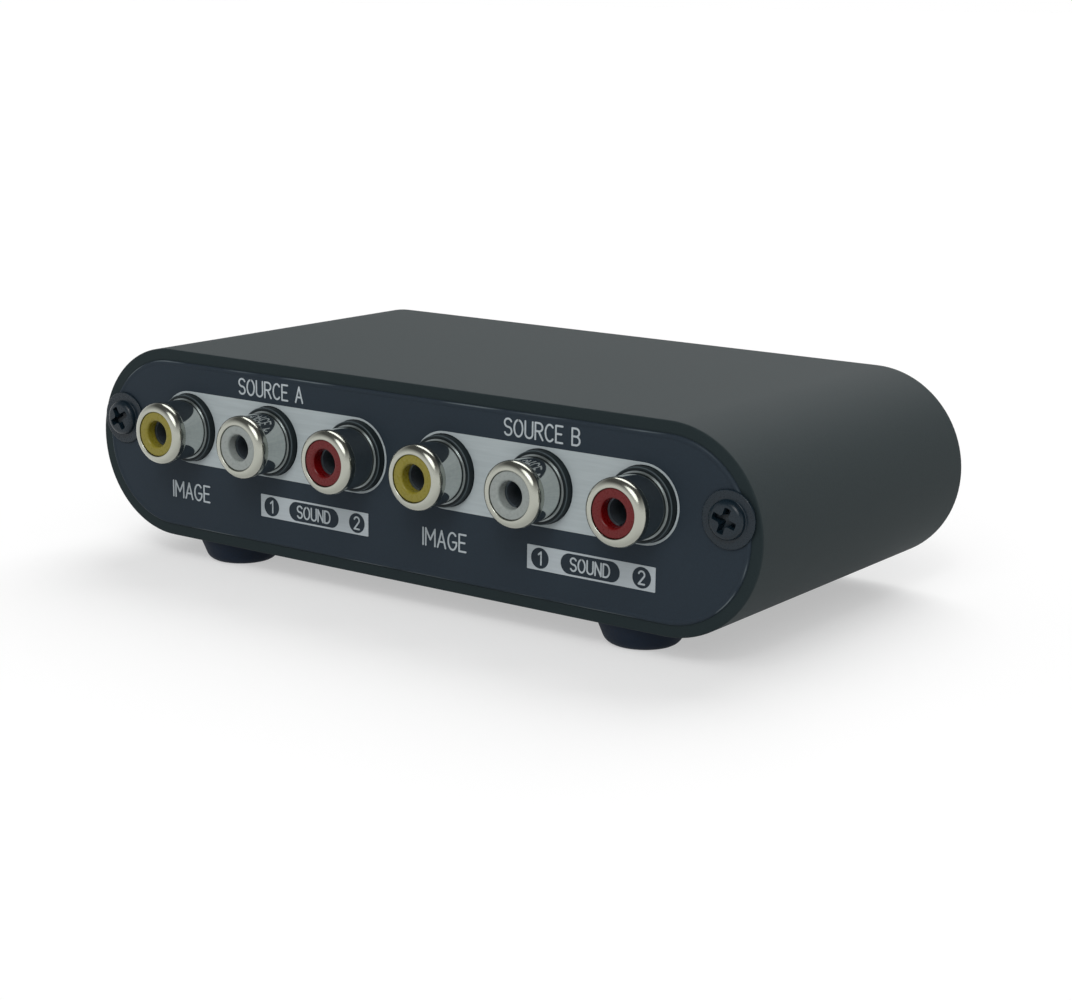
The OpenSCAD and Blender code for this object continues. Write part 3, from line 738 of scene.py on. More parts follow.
@dataclass
class HousingTube:
    """Extruded tube with full round ends, screw ports and board slots."""

    wall: float = 1.6  # thickness of the tube
    rim_outer: float = 0.2  # rounding of the outer edge of the tube's ends
    rim_inner: float = 0.12  # rounding of their inner edge
    port: float = 6.0  # outside diameter of a screw port
    port_hole: float = 3.06  # diameter of its hole
    port_inset: float = 4.5  # distance of a port from the tube's side
    port_rise: float = 2.6  # height of a port above the tube's middle
    port_sides: int = 48  # steps round a port
    rail: float = 1.2  # thickness of a board rib
    rail_reach: float = 2.6  # width of a rib
    rail_over: float = 1.8  # how far a rib reaches over the board
    rail_gap: float = 0.1  # room between a rib and the board
    soft: float = 0.1  # rounding of ports and ribs

    def wall_section(self, end: float) -> Array:
        """Section of the wall: inset from the outside, and depth up to the tube's end on both sides."""
        edges = (self.rim_outer, self.rim_inner, self.rim_inner, self.rim_outer)
        return rectangle((0, self.wall), (-end, end), edges)

    def inside(self, box: Box, seat: float) -> list[Surface]:
        """Screw ports, each a ring drawn along the depth, and the ribs that hold the board.

        Args:
            box: box of the tube.
            seat: depth of the panels' inner faces.
        Returns:
            The surfaces.
        """
        board = box_mm("circuit_board")
        depth = (-seat, seat)
        ring = turned(rectangle((self.port_hole / 2, self.port / 2), depth, self.soft, 3), self.port_sides)
        port_x, port_z = box.high[0] - self.port_inset, box.middle[2] + self.port_rise
        rail_x = board.high[0] - self.rail_over
        parts = []
        for sign in (-1, 1):
            parts.append(Station(sign * port_x, 0, port_z, Side.REAR).place(ring))
            x = sorted((sign * rail_x, sign * (rail_x + self.rail_reach)))
            for z in (board.low[2] - self.rail_gap - self.rail, board.high[2] + self.rail_gap):
                parts.append(block(x, depth, (z, z + self.rail), self.soft))
        return parts

    def build(self) -> None:
        """Makes the tube's piece, with painted shade on its ends."""
        box = box_mm("housing_tube")
        seat = box_mm("rear_panel").low[1]
        surface = joined([swept(box, self.wall_section(box.high[1])), *self.inside(box, seat)])
        # Painted shade: the ends darken over the length of the outer rounding
        painted_end_shade = np.clip(1 + (np.abs(surface.points[:, 1]) - box.high[1]) / self.rim_outer, 0, 1)
        make_piece("tube_extrusion", surface, TUBE_ANODISED, ("housing_tube",), painted_end_shade)


@dataclass
class EndPanel:
    """Sheet panel that closes an end of the tube, with a softened edge over the plain plate's sharp one."""

    node: str  # CAD node of the plate
    side: Side  # end of the tube that it closes
    cover: float = 0.17  # how far the softened edge lies outside the sharp one
    edge: float = 0.35  # its rounding
    margin: float = 0.5  # how far it reaches in over the face
    lift: float = 0.01  # its height above the face there
    root: float = 0.3  # how far it is sunk in the face there
    skirt: float = 0.6  # how far it reaches down the plate's side
    steps: int = 8  # chords of the rounding
    highlight_fade: float = 0.03  # distance over which the painted highlight on the edge fades
    # lengths of the two waves that break that line into stretches
    highlight_waves: tuple[float, float] = (31.0, 12.7)

    def section(self) -> Array:
        """Section of the softened edge.

        Returns:
            Inset of each point from the plate's edge, and its height above the plate's face.
        """
        corners = [(-self.cover, -self.skirt), (-self.cover, self.cover), (self.margin, self.lift),
                   (self.margin, -self.root)]
        return rounded(corners, (HIDDEN, self.edge, self.lift / 2, HIDDEN), True, self.steps)

    def painted_highlight(self, rim: Surface) -> Array:
        """Share of painted highlight on the edge: a thin line on the middle of the rounding, broken into
        stretches.

        The line fades with the distance from the corner that the rounding takes off. Along the edge the
        share is the sum of two sine waves of x + 2 z, held between 0 and 1.

        Args:
            rim: the softened edge.
        Returns:
            The share at each point.
        """
        section = self.section()
        near = np.linalg.norm(section - [-self.cover, self.cover], axis=1)
        across = np.clip(1 - (near - near.min()) / self.highlight_fade, 0, 1)
        x, z = rim.points.reshape(len(section), -1, 3)[0, :, [0, 2]]
        waves = sum(np.sin(2 * np.pi * (x + 2 * z) / length) for length in self.highlight_waves)
        return np.outer(across, np.clip(waves, 0, 1)).ravel()

    def build(self, nodes: Nodes) -> None:
        """Dresses the plate and makes its edge.

        Args:
            nodes: CAD nodes by name.
        """
        dress(nodes, self.node, PANEL_ANODISED)
        outward = self.side.value
        rim = swept(box_mm(self.node), self.section() * [1, outward] + [0, outward * panel_face()])
        # The softened edge is real shape; its lighter line is a painted highlight
        make_piece(self.node + "_edge", rim, PANEL_ANODISED, painted_light=self.painted_highlight(rim))


@dataclass
class PanelScrews:
    """Four pan head screws with washer flanges and cross recesses."""

    flange: float = 7.2  # diameter of the washer flange
    flange_t: float = 0.35  # thickness of the washer flange
    head: float = 4.8  # diameter of the pan head
    head_h: float = 0.9  # height of the head above the flange
    head_round: float = 0.6  # rounding of the head's edge
    # roundings below it, from the head's foot to the tip of the shank
    edges: tuple[float, ...] = (0.12, 0.14, 0.08, 0.05, 0.4)
    crown: float = 0.12  # rise of the head's top from its edge to its middle
    arm: float = 1.65  # half the length of the cross recess
    arm_w: float = 0.88  # width of its arms at the top
    floor_w: float = 0.72  # width of its arms at the bottom
    widest: float = 40.0  # greatest half angle of an arm about the axis, in degrees
    floor_share: float = 0.9  # share of that for its floor
    depth: float = 1.7  # depth of the recess in the middle
    floor_rise: float = 0.35  # share of the depth by which the floor rises to the end of an arm
    ramp: float = 0.1  # length of the slope at the end of an arm
    shank: float = 3.0  # diameter of the shank
    length: float = 9.0  # length of the shank
    turn: tuple[float, ...] = (31.0, 71.0, 64.0, 25.0)  # angle of each recess, in degrees, front left first
    # radius of the first ring of points, and distance of one more ring outside the arms
    rings: tuple[float, float] = (0.12, 0.03)
    # places of the grid's lines in the eighth of a turn next to an arm's middle; the fourth and the fifth
    # follow the foot and the edge of the arm
    lines: tuple[float, ...] = (0.0, 0.2, 0.42, 0.45, 0.55, 0.58, 0.75, 0.9)

    def profile(self) -> tuple[Array, Array]:
        """Outline of a screw from near its axis at the top, over head and flange, to near its shank's tip.

        The head's top rises by crown (1 - (r / head radius)^2).

        Returns:
            Radius of each point, and its height above the seat.
        """
        top, head, flange, shank = self.flange_t + self.head_h, self.head / 2, self.flange / 2, self.shank / 2
        first, outside = self.rings
        inner = np.concatenate([np.linspace(first, self.arm - 2 * self.ramp, 9),
                                [self.arm - self.ramp, self.arm, self.arm + outside]])
        corners = [(inner[-1], top), (head, top), (head, self.flange_t), (flange, self.flange_t), (flange, 0),
                   (shank, 0), (shank, -self.length), (0, -self.length)]
        outer = rounded(corners, (self.head_round, *self.edges), False)[1:-1]
        r, z = np.concatenate([np.stack([inner, np.full_like(inner, top)], -1), outer]).T
        crown = self.crown * np.clip(1 - (r / head) ** 2, 0, 1) * (z > top - self.head_round)
        return r, z + crown

    def screw(self) -> Surface:
        """Screw with its cross recess.

        The outline is turned about the axis. The angles of the grid are drawn together so that two of
        its lines follow the edge and the foot of each arm of the recess, at asin(w / 2r) from the arm's
        middle. Between them the surface falls from the crown to the recess's floor, which rises from
        the middle towards the end of the arms.

        Returns:
            The surface in local coordinates, with its seat at height 0.
        """
        r, z = self.profile()
        limit, knots = math.radians(self.widest), np.array(self.lines)
        foot_at, lip_at = self.lines[3:5]
        octant = np.concatenate([knots, 2 - np.array([1, *knots[:0:-1]])])
        t = np.concatenate([octant + 2 * k for k in range(4)])
        phase = np.abs((t + 1) % 2 - 1)
        foot = np.arcsin(np.minimum(self.floor_w / 2 / r, math.sin(limit * self.floor_share)))[:, None]
        lip = np.arcsin(np.minimum(self.arm_w / 2 / r, math.sin(limit)))[:, None]
        outside = np.clip((phase - foot_at) / (lip_at - foot_at), 0, 1)
        angle = (foot * np.clip(phase / foot_at, 0, 1) + (lip - foot) * outside
                 + (np.pi / 4 - lip) * np.clip((phase - lip_at) / (1 - lip_at), 0, 1))
        a = np.floor((t + 1) / 2) * np.pi / 2 + np.where(t % 2 < 1, 1, -1) * angle
        core = r < self.arm_w / 2 / math.sin(limit)
        inside = np.where(core[:, None], 1.0, 1 - outside)
        floor = self.depth * (1 - self.floor_rise * r / self.arm)
        sink = (z > 0) * floor * np.clip((self.arm - r) / self.ramp, 0, 1)
        grid = grid_of(r[:, None] * np.cos(a), r[:, None] * np.sin(a), z[:, None] - sink[:, None] * inside)
        middle = self.flange_t + self.head_h + self.crown - self.depth
        return capped(grid, (0, 0, middle), (0, 0, -self.length))

    def build(self) -> None:
        """Makes the screws' piece."""
        box = box_mm("panel_screws")
        x, screw = box.high[0] - self.flange / 2, self.screw()
        places = [Station(sign * x, side.value * panel_face(), box.middle[2], side)
                  for side in Side for sign in (-1, 1)]
        parts = []
        for place, degrees in zip(places, self.turn):
            c, s = math.cos(math.radians(degrees)), math.sin(math.radians(degrees))
            spun = screw.points @ np.array([[c, s, 0], [-s, c, 0], [0, 0, 1]])
            parts.append(place.place(screw.at(spun)))
        make_piece("screws_pan_head", joined(parts), OXIDE_STEEL, ("panel_screws",))


@dataclass
class Foot:
    """Rubber foot: a cone whose lower edge is well rounded."""

    node: str  # CAD node that it stands for
    low_d: float = 9.2  # diameter at the floor, before the edge is rounded
    edge: float = 1.6  # rounding of the lower edge
    seat_edge: float = 0.06  # rounding of the upper edge
    dish: float = 0.25  # depth of the hollow under the foot
    # radius of the hollow's roof and of its mouth, as shares of the foot's
    dish_share: tuple[float, float] = (0.45, 0.55)
    dish_edge: float = 0.3  # rounding of the hollow

    def build(self) -> None:
        """Makes the foot: its outline, from the hollow underneath to the seat, turned about its axis."""
        box = box_mm(self.node)
        r, top, tall = self.low_d / 2, box.half[0], 2 * box.half[2]
        roof, mouth = (r * share for share in self.dish_share)
        profile = rounded([(0, self.dish), (roof, self.dish), (mouth, 0), (r, 0), (top, tall), (0, tall)],
                          (self.dish_edge, self.dish_edge, self.edge, self.seat_edge), False)
        surface = turned(profile).moved((*box.middle[:2], box.low[2]))
        make_piece(self.node + "_rubber", surface, RUBBER, (self.node,))


@dataclass
class PhonoJack:
    """Panel jack: rolled shell, coloured insulator, spring tube and moulded body."""

    name: str  # name of the jack, the start of its nodes' names
    side: Side  # panel that it sits in
    insulator: Finish  # finish of the insulator
    slot: str  # the record's slot of the insulator
    collar: float = 1.0  # reach of the body's collar in front of the panel
    collar_d: float = 9.2  # diameter of the collar
    collar_cover: float = 0.05  # how far its soft front edge lies outside the plain solid's
    collar_edge: float = 0.15  # rounding of that edge
    collar_gap: float = 0.03  # room between collar and flange, and rounding of the collar's edge there
    # how far the soft front reaches back, inside from its face and outside from the panel's
    collar_back: tuple[float, float] = (0.6, 0.3)
    flange_t: float = 0.2  # thickness of the shell's base flange
    flange_lip: float = 0.16  # how far the flange stands out from the barrel
    flange_edge: float = 0.05  # rounding of the flange
    lip_len: float = 1.5  # length of the rolled lip
    lip_roll: float = 0.16  # how far the lip stands out from the barrel
    lip_slope: float = 0.25  # length of the slope behind the lip
    lip_t: float = 0.6  # thickness of the lip in front of the insulator
    lip_turn: float = 0.4  # how far the lip turns in
    lip_shade_fade: float = 0.3  # length over which the lip's painted shade fades behind it
    shell_wall: float = 0.4  # wall of the tail
    # roundings of the shell, from the back of its bore over the lip to the back of its tail
    shell_edges: tuple[float, ...] = (0.05, 0.05, 0.08, 0.12, 0.98, 0.2, 0.15, 0.03, 0.05, 0.05)
    shell_steps: int = 8  # chords of such a rounding
    tail_step: float = 0.2  # step from the barrel down to the tail
    # width and thickness of the solder lug, and how far it is sunk in the tail
    lug: tuple[float, float, float] = (1.2, 0.5, 0.1)
    lug_edge: float = 0.1  # rounding of the lug
    face_t: float = 1.5  # thickness of the insulator's front wall
    face_crown: float = 0.05  # how far its face rises in front of the plain solid's
    shoulder_gap: float = 0.05  # room between its shoulder and the lip
    # its roundings, from the back of its cavity over the face to the back of its outside
    ring_edges: tuple[float, ...] = (0.05, 0.05, 0.1, 0.36, 0.12, 0.03, 0.06, 0.06)
    socket: float = 3.5  # diameter of its hole
    cavity: float = 4.4  # diameter of the room behind it

    def station(self) -> Station:
        """Place of the jack's axis on its panel's face."""
        x, _, z = box_mm(self.name + "_insulator").middle
        return Station(x, self.side.value * panel_face(), z, self.side)

    def reach(self, node: str) -> tuple[float, float]:
        """Back and front of one of the jack's nodes, measured out from the panel's face."""
        box = box_mm(self.name + node)
        return tuple(sorted(self.side.value * y - panel_face() for y in (box.low[1], box.high[1])))

    def barrel(self) -> float:
        """Radius of the shell's barrel."""
        return box_mm(self.name + "_shell").half[0] - self.flange_lip

    def flange(self) -> Surface:
        """Base flange: a ring with a soft edge, turned about the axis and sunk in the barrel's wall.

        Returns:
            The surface in local coordinates.
        """
        across = (self.barrel() - self.tail_step / 2, self.barrel() + self.flange_lip)
        return turned(rectangle(across, (self.collar, self.collar + self.flange_t),
                                (HIDDEN, HIDDEN, self.flange_edge, HIDDEN)))

    def shell(self) -> Surface:
        """Shell: the outline of its wall turned about the axis, and its solder lug.

        Returns:
            The surface in local coordinates.
        """
        back, front = self.reach("_shell")
        barrel = self.barrel()
        tail, lip = barrel - self.tail_step, barrel + self.lip_roll
        bore = tail - self.shell_wall
        mouth, rim, turn = bore - self.lip_turn, front - self.lip_len, front - self.lip_t
        corners = [(bore, back), (bore, turn), (mouth, turn), (mouth, front), (lip, front), (lip, rim),
                   (barrel, rim - self.lip_slope), (barrel, self.collar), (tail, self.collar), (tail, back)]
        wall = rounded(corners, self.shell_edges, True, self.shell_steps)
        lug_w, lug_t, sunk = self.lug
        lug_low = box_mm(self.name + "_shell").low[2] - self.station().z
        lug = block((-lug_w / 2, lug_w / 2), (lug_low, sunk - tail), (back, back + lug_t), self.lug_edge)
        return joined([turned(wall), lug])

    def painted_lip_shade(self, shell: Surface) -> Array:
        """Share of painted shade on the shell: 1 on the rolled lip, falling to 0 on the barrel behind it."""
        rim = self.reach("_shell")[1] - self.lip_len
        return np.clip(1 + (shell.points[:, 2] - rim) / self.lip_shade_fade, 0, 1)

    def ring(self) -> Surface:
        """Insulator: its outline turned about the axis, with a soft edge round the hole.

        Returns:
            The surface in local coordinates.
        """
        back, front = self.reach("_insulator")
        outer, cavity, socket = box_mm(self.name + "_insulator").half[0], self.cavity / 2, self.socket / 2
        rear, shoulder = front - self.face_t, self.reach("_shell")[1] - self.lip_t - self.shoulder_gap
        face, crown = outer - self.lip_turn, front + self.face_crown
        return turned(rounded([(cavity, back), (cavity, rear), (socket, rear), (socket, crown), (face, crown),
                               (face, shoulder), (outer, shoulder), (outer, back)], self.ring_edges))

    def collar_front(self) -> Surface:
        """Front of the moulded collar: its outline, with a soft outer edge, turned about the axis.

        Returns:
            The surface in local coordinates.
        """
        inner = self.barrel() + self.flange_lip + self.collar_gap
        outer, front = self.collar_d / 2 + self.collar_cover, self.collar + self.collar_cover
        inside, outside = self.collar_back
        return turned(rounded([(inner, front - inside), (inner, front), (outer, front), (outer, -outside)],
                              (HIDDEN, self.collar_gap, self.collar_edge, HIDDEN)))

    def painted_collar_highlight(self, collar: Surface) -> Array:
        """Share of painted highlight: 1 on the middle of the collar's soft edge, 0 on its front and side.

        It is twice the product of how far a point lies across the rounding and along it, up to 1.

        Args:
            collar: the collar's front, in local coordinates.
        Returns:
            The share at each point.
        """
        places = (np.linalg.norm(collar.points[:, :2], axis=1), collar.points[:, 2])
        across, along = (np.clip((p - p.max()) / self.collar_edge + 1, 0, 1) for p in places)
        return np.clip(2 * across * along, 0, 1)

    def build(self, nodes: Nodes) -> None:
        """Makes the shell, the insulator and the collar's front, and dresses the contact and the body.

        Args:
            nodes: CAD nodes by name.
        """
        station, shell, collar = self.station(), self.shell(), self.collar_front()
        # The lip's greyer colour is painted shade
        make_piece(self.name + "_barrel", station.place(shell), NICKEL,
                   (self.name + "_shell",), self.painted_lip_shade(shell))
        # The flange's darker grey is painted shade
        make_piece(self.name + "_flange", station.place(self.flange()), NICKEL_PAINTED_SHADE)
        make_piece(self.name + "_ring", station.place(self.ring()), self.insulator,
                   (self.name + "_insulator",))
        # The collar's lighter edge is a painted highlight
        make_piece(self.name + "_collar", station.place(collar), JACK_BLACK,
                   painted_light=self.painted_collar_highlight(collar))
        dress(nodes, self.name + "_contact", TINNED)
        dress(nodes, self.name + "_body", JACK_BLACK)


@dataclass
class Selector:
    """Push button, the switch behind it and its return spring."""

    edge: float = 0.8  # rounding of the button's front edge
    back_edge: float = 0.15  # rounding of its back edge
    rim: float = 0.35  # width of the flat between its front edge and the hollow in its face
    dish: float = 0.35  # depth of that hollow
    coil_d: float = 3.2  # mean diameter of the return spring
    wire: float = 0.5  # diameter of its wire
    turns: int = 6  # its turns

    def cap(self, length: float, radius: float) -> Surface:
        """Button: an outline with a hollow face, h = length - dish (1 - (r / flat)^2), turned about the axis.

        Args:
            length: length of the button.
            radius: its radius.
        Returns:
            The surface in local coordinates, with its back at height 0.
        """
        flat = radius - self.edge - self.rim
        hollow = np.linspace(flat, 0, 12)
        corners = [(0, 0), (radius, 0), (radius, length), (flat, length)]
        side = rounded(corners, (self.back_edge, self.edge), False)
        face = np.stack([hollow, length - self.dish * (1 - (hollow / flat) ** 2)], -1)
        return turned(np.concatenate([side[:-1], face]))

    def build(self, nodes: Nodes, travel: float) -> None:
        """Makes the button and the spring, and dresses the switch.

        Args:
            nodes: CAD nodes by name.
            travel: travel of the button; not used.
        """
        box = box_mm("selector_button")
        x, _, z = box.middle
        cap = Station(x, box.low[1], z, Side.REAR).place(self.cap(2 * box.half[1], box.half[0]))
        make_piece("button_cap", cap, BUTTON_BLACK, ("selector_button",), body="selector")
        room = box_mm("return_spring")
        low, high, wire = room.low, room.high, self.wire / 2
        spring = coil(self.coil_d / 2, wire, low[1] + wire, high[1] - wire, self.turns)
        spring = Station(x, 0, z, Side.REAR).place(spring)
        piece = make_piece("spring_coil", spring, STEEL, ("return_spring",))
        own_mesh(piece)
        for name, finish in (("switch_housing", SWITCH_CREAM), ("selector_slider", SLIDER_WHITE),
                             ("switch_bracket", STEEL), ("latch_pin", STEEL), ("latch_leaf", STEEL),
                             ("switch_terminals", BRASS), ("moving_contacts", BRASS)):
            dress(nodes, name, finish)


def arc(cx: float, cy: float, rx: float, ry: float, a0: float, a1: float) -> Array:
    """Points of an elliptic arc: (cx + rx cos a, cy + ry sin a) from a0 to a1 degrees."""
    a = np.radians(np.linspace(a0, a1, int(abs(a1 - a0) / ARC_STEP)))
    return np.stack([cx + rx * np.cos(a), cy + ry * np.sin(a)], -1)


def line(*points: tuple[float, float]) -> list[Array]:
    """Straight strokes from point to point, each a path of its own."""
    return [np.linspace(a, b, 3) for a, b in zip(points, points[1:])]


def run(*parts: Array | tuple[float, float]) -> Array:
    """One path through several paths and points, without the points where they meet twice."""
    path = np.concatenate([np.atleast_2d(part) for part in parts])
    return path[np.concatenate([[True], np.linalg.norm(np.diff(path, axis=0), axis=1) > ZERO])]


STEM = line((0, 0), (0, 1))
# Strokes of each sign in a cell one unit high, with the sign's width
SIGNS: dict[str, tuple[float, list[Array]]] = {
    "A": (0.58, line((0, 0), (0.29, 1), (0.58, 0)) + line((0.1, 0.34), (0.48, 0.34))),
    "B": (0.54, STEM + [run((0, 1), arc(0.26, 0.76, 0.24, 0.24, 90, -90), (0, 0.52)),
                        run((0, 0.52), arc(0.28, 0.26, 0.26, 0.26, 90, -90), (0, 0))]),
    "C": (0.56, [arc(0.31, 0.5, 0.31, 0.5, 45, 315)]),
    "D": (0.56, STEM + [run((0, 1), arc(0.2, 0.5, 0.36, 0.5, 90, -90), (0, 0))]),
    "E": (0.48, line((0.48, 1), (0, 1), (0, 0), (0.48, 0)) + line((0, 0.52), (0.4, 0.52))),
    "G": (0.6, [arc(0.31, 0.5, 0.31, 0.5, 45, 335)] + line((0.6, 0.28), (0.6, 0.46), (0.34, 0.46))),
    "H": (0.54, STEM + line((0.54, 0), (0.54, 1)) + line((0, 0.52), (0.54, 0.52))),
    "I": (0.0, STEM),
    "M": (0.68, line((0, 0), (0, 1), (0.34, 0.35), (0.68, 1), (0.68, 0))),
    "N": (0.54, line((0, 0), (0, 1), (0.54, 0), (0.54, 1))),
    "O": (0.62, [arc(0.31, 0.5, 0.31, 0.5, 90, 450)]),
    "R": (0.54, STEM + line((0.24, 0.5), (0.54, 0)) + [
        run((0, 1), arc(0.27, 0.75, 0.25, 0.25, 90, -90), (0, 0.5))]),
    "S": (0.52, [run(arc(0.26, 0.75, 0.26, 0.25, 25, 270), arc(0.26, 0.25, 0.26, 0.25, 90, -155))]),
    "U": (0.54, [run((0, 1), arc(0.27, 0.27, 0.27, 0.27, 180, 360), (0.54, 1))]),
    "1": (0.24, line((0, 0.78), (0.24, 1), (0.24, 0))),
    "2": (0.52, [run(arc(0.26, 0.74, 0.26, 0.26, 165, -38), (0, 0))] + line((0, 0), (0.52, 0))),
    " ": (0.3, []),
}


@dataclass
class PanelPrint:
    """Printed marks: band, bar, marks and words of a group of jacks, and ring and letters of the button."""

    ink: float = 0.02  # thickness of one layer of ink
    ink_step: float = 0.04  # how much thicker each stroke is than the one before, as a share of a layer
    hole: float = 4.75  # radius that the band keeps clear of a jack's axis
    band: float = 5.03  # half the height of the band round the jacks
    bar: tuple[float, float] = (18.9, 3.1)  # width and height of the bar below the sound jacks
    bar_edge: float = 0.1  # rounding of its corners
    bar_drop: float = 9.05  # distance of the bar's middle below the jacks' axis
    # width and height of a round mark on the bar; the width is a hair more, to keep its sides
    mark: tuple[float, float] = (2.66, 2.65)
    lozenge: tuple[float, float] = (8.7, 2.6)  # width and height of the long mark on the bar
    title_rise: float = 5.8  # distance of the title's foot above the jacks' axis
    title_h: float = 2.05  # height of the title's signs
    word_drop: float = 10.15  # distance of the picture word's foot below the jacks' axis
    word_h: float = 2.2  # height of its signs
    small_h: float = 1.6  # height of the signs on the bar
    pen: float = 0.24  # width of a stroke
    pen_small: float = 0.22  # width of a stroke on the bar
    spacing: float = 0.2  # gap between signs, as a share of their height
    ring: float = 4.9  # inner radius of the ring round the button
    ring_w: float = 0.3  # width of that ring
    letter_x: float = 7.4  # distance of the letters beside the button from its axis

    def words(self, text: str, x: float, foot: float, height: float, pen: float,
              base: float) -> list[Surface]:
        """Signs of a text, centred at x.

        Each stroke is a hair thicker than the one before, so that strokes that cross don't share a face.

        Args:
            text: the signs.
            x: middle of the text.
            foot: height of the signs' feet.
            height: height of the signs.
            pen: width of a stroke.
            base: height of the ink below.
        Returns:
            One surface for each stroke.
        """
        widths = np.array([SIGNS[c][0] for c in text]) * height
        starts = np.concatenate([[0], np.cumsum(widths + self.spacing * height)[:-1]])
        left = x - (starts[-1] + widths[-1]) / 2
        paths = [path * height + [left + start, foot]
                 for c, start in zip(text, starts) for path in SIGNS[c][1]]
        return [ribbon(path, pen, base, base + self.ink * (1 + self.ink_step * k))
                for k, path in enumerate(paths)]

    def pill(self, x: float, y: float, size: tuple[float, float]) -> Surface:
        """Flat mark with full round ends, on the first layer of ink."""
        core, direction = stadium(size[0] / 2, size[1] / 2, 4, 24)
        return extruded(core + direction * size[1] / 2 + [x, y], (self.ink, 2 * self.ink))

    def build(self, name: str, station: Station, pitch: float, title: str) -> None:
        """Makes the marks of a group, in three inks.

        Args:
            name: start of the pieces' names.
            station: place of the group's middle jack on the panel's face.
            pitch: spacing of the jacks.
            title: words above the band.
        """
        band = [framed_hole(self.hole, pitch / 2, self.band, cell, self.ink).moved((k * pitch, 0, 0))
                for k, cell in zip((-1, 0, 1), Cell)]
        x, y = pitch / 2, -self.bar_drop
        half_w, half_h = self.bar[0] / 2, self.bar[1] / 2
        frame = rectangle((x - half_w, x + half_w), (y - half_h, y + half_h), self.bar_edge, 3)
        light = [extruded(frame, (0.0, self.ink))]
        for text, place in (("SOUND", x), ("1", 0), ("2", pitch)):
            light += self.words(text, place, y - self.small_h / 2, self.small_h, self.pen_small, 2 * self.ink)
        light += self.words(title, 0, self.title_rise, self.title_h, self.pen, 0.0)
        light += self.words("IMAGE", -pitch, -self.word_drop, self.word_h, self.pen, 0.0)
        dark = [self.pill(x, y, self.lozenge), self.pill(0, y, self.mark), self.pill(pitch, y, self.mark)]
        for part, surfaces, finish in (("band", band, SILVER_INK), ("bar", light, WHITE_INK),
                                       ("marks", dark, BLACK_INK)):
            make_piece(f"{name}_print_{part}", station.place(joined(surfaces)), finish)

    def build_button_marks(self, name: str, station: Station) -> None:
        """Makes the ring round the button and the two letters beside it.

        Args:
            name: name of the piece.
            station: place of the button's axis on the panel's face.
        """
        inner, outer = self.ring, self.ring + self.ring_w
        parts = [turned(np.array([[inner, 0], [inner, self.ink], [outer, self.ink], [outer, 0]]))]
        for text, x in (("A", -self.letter_x), ("B", self.letter_x)):
            parts += self.words(text, x, -self.title_h / 2, self.title_h, self.pen, 0.0)
        make_piece(name, station.place(joined(parts)), WHITE_INK)


def aim(thing: bpy.types.Object, axes: Sequence[Span], place: Span) -> None:
    """Turns an object's own x, y and z to three axes and puts it in its place, in metres."""
    thing.matrix_world = Matrix([*np.stack([*axes, place], 1).tolist(), (0, 0, 0, 1)])


@dataclass(frozen=True)
class Lamp:
    """Wide soft light, so far away that the whole floor gets the same from it."""

    name: str  # its name
    toward: tuple[float, float, float]  # direction from the object to the lamp
    level: float  # share of a plain level that it gives a face turned up
    spread: float  # how wide it looks from the object, in degrees

    def hang(self) -> None:
        """Makes the light."""
        back = unit(np.array(self.toward))
        right = unit(np.cross([0, 1, 0], back))
        light = bpy.data.lights.new(self.name, "SUN")
        light.energy = self.level * math.pi / back[2]
        light.angle = math.radians(self.spread)
        aim(link_object(self.name, light), (right, np.cross(back, right), back), self.toward)


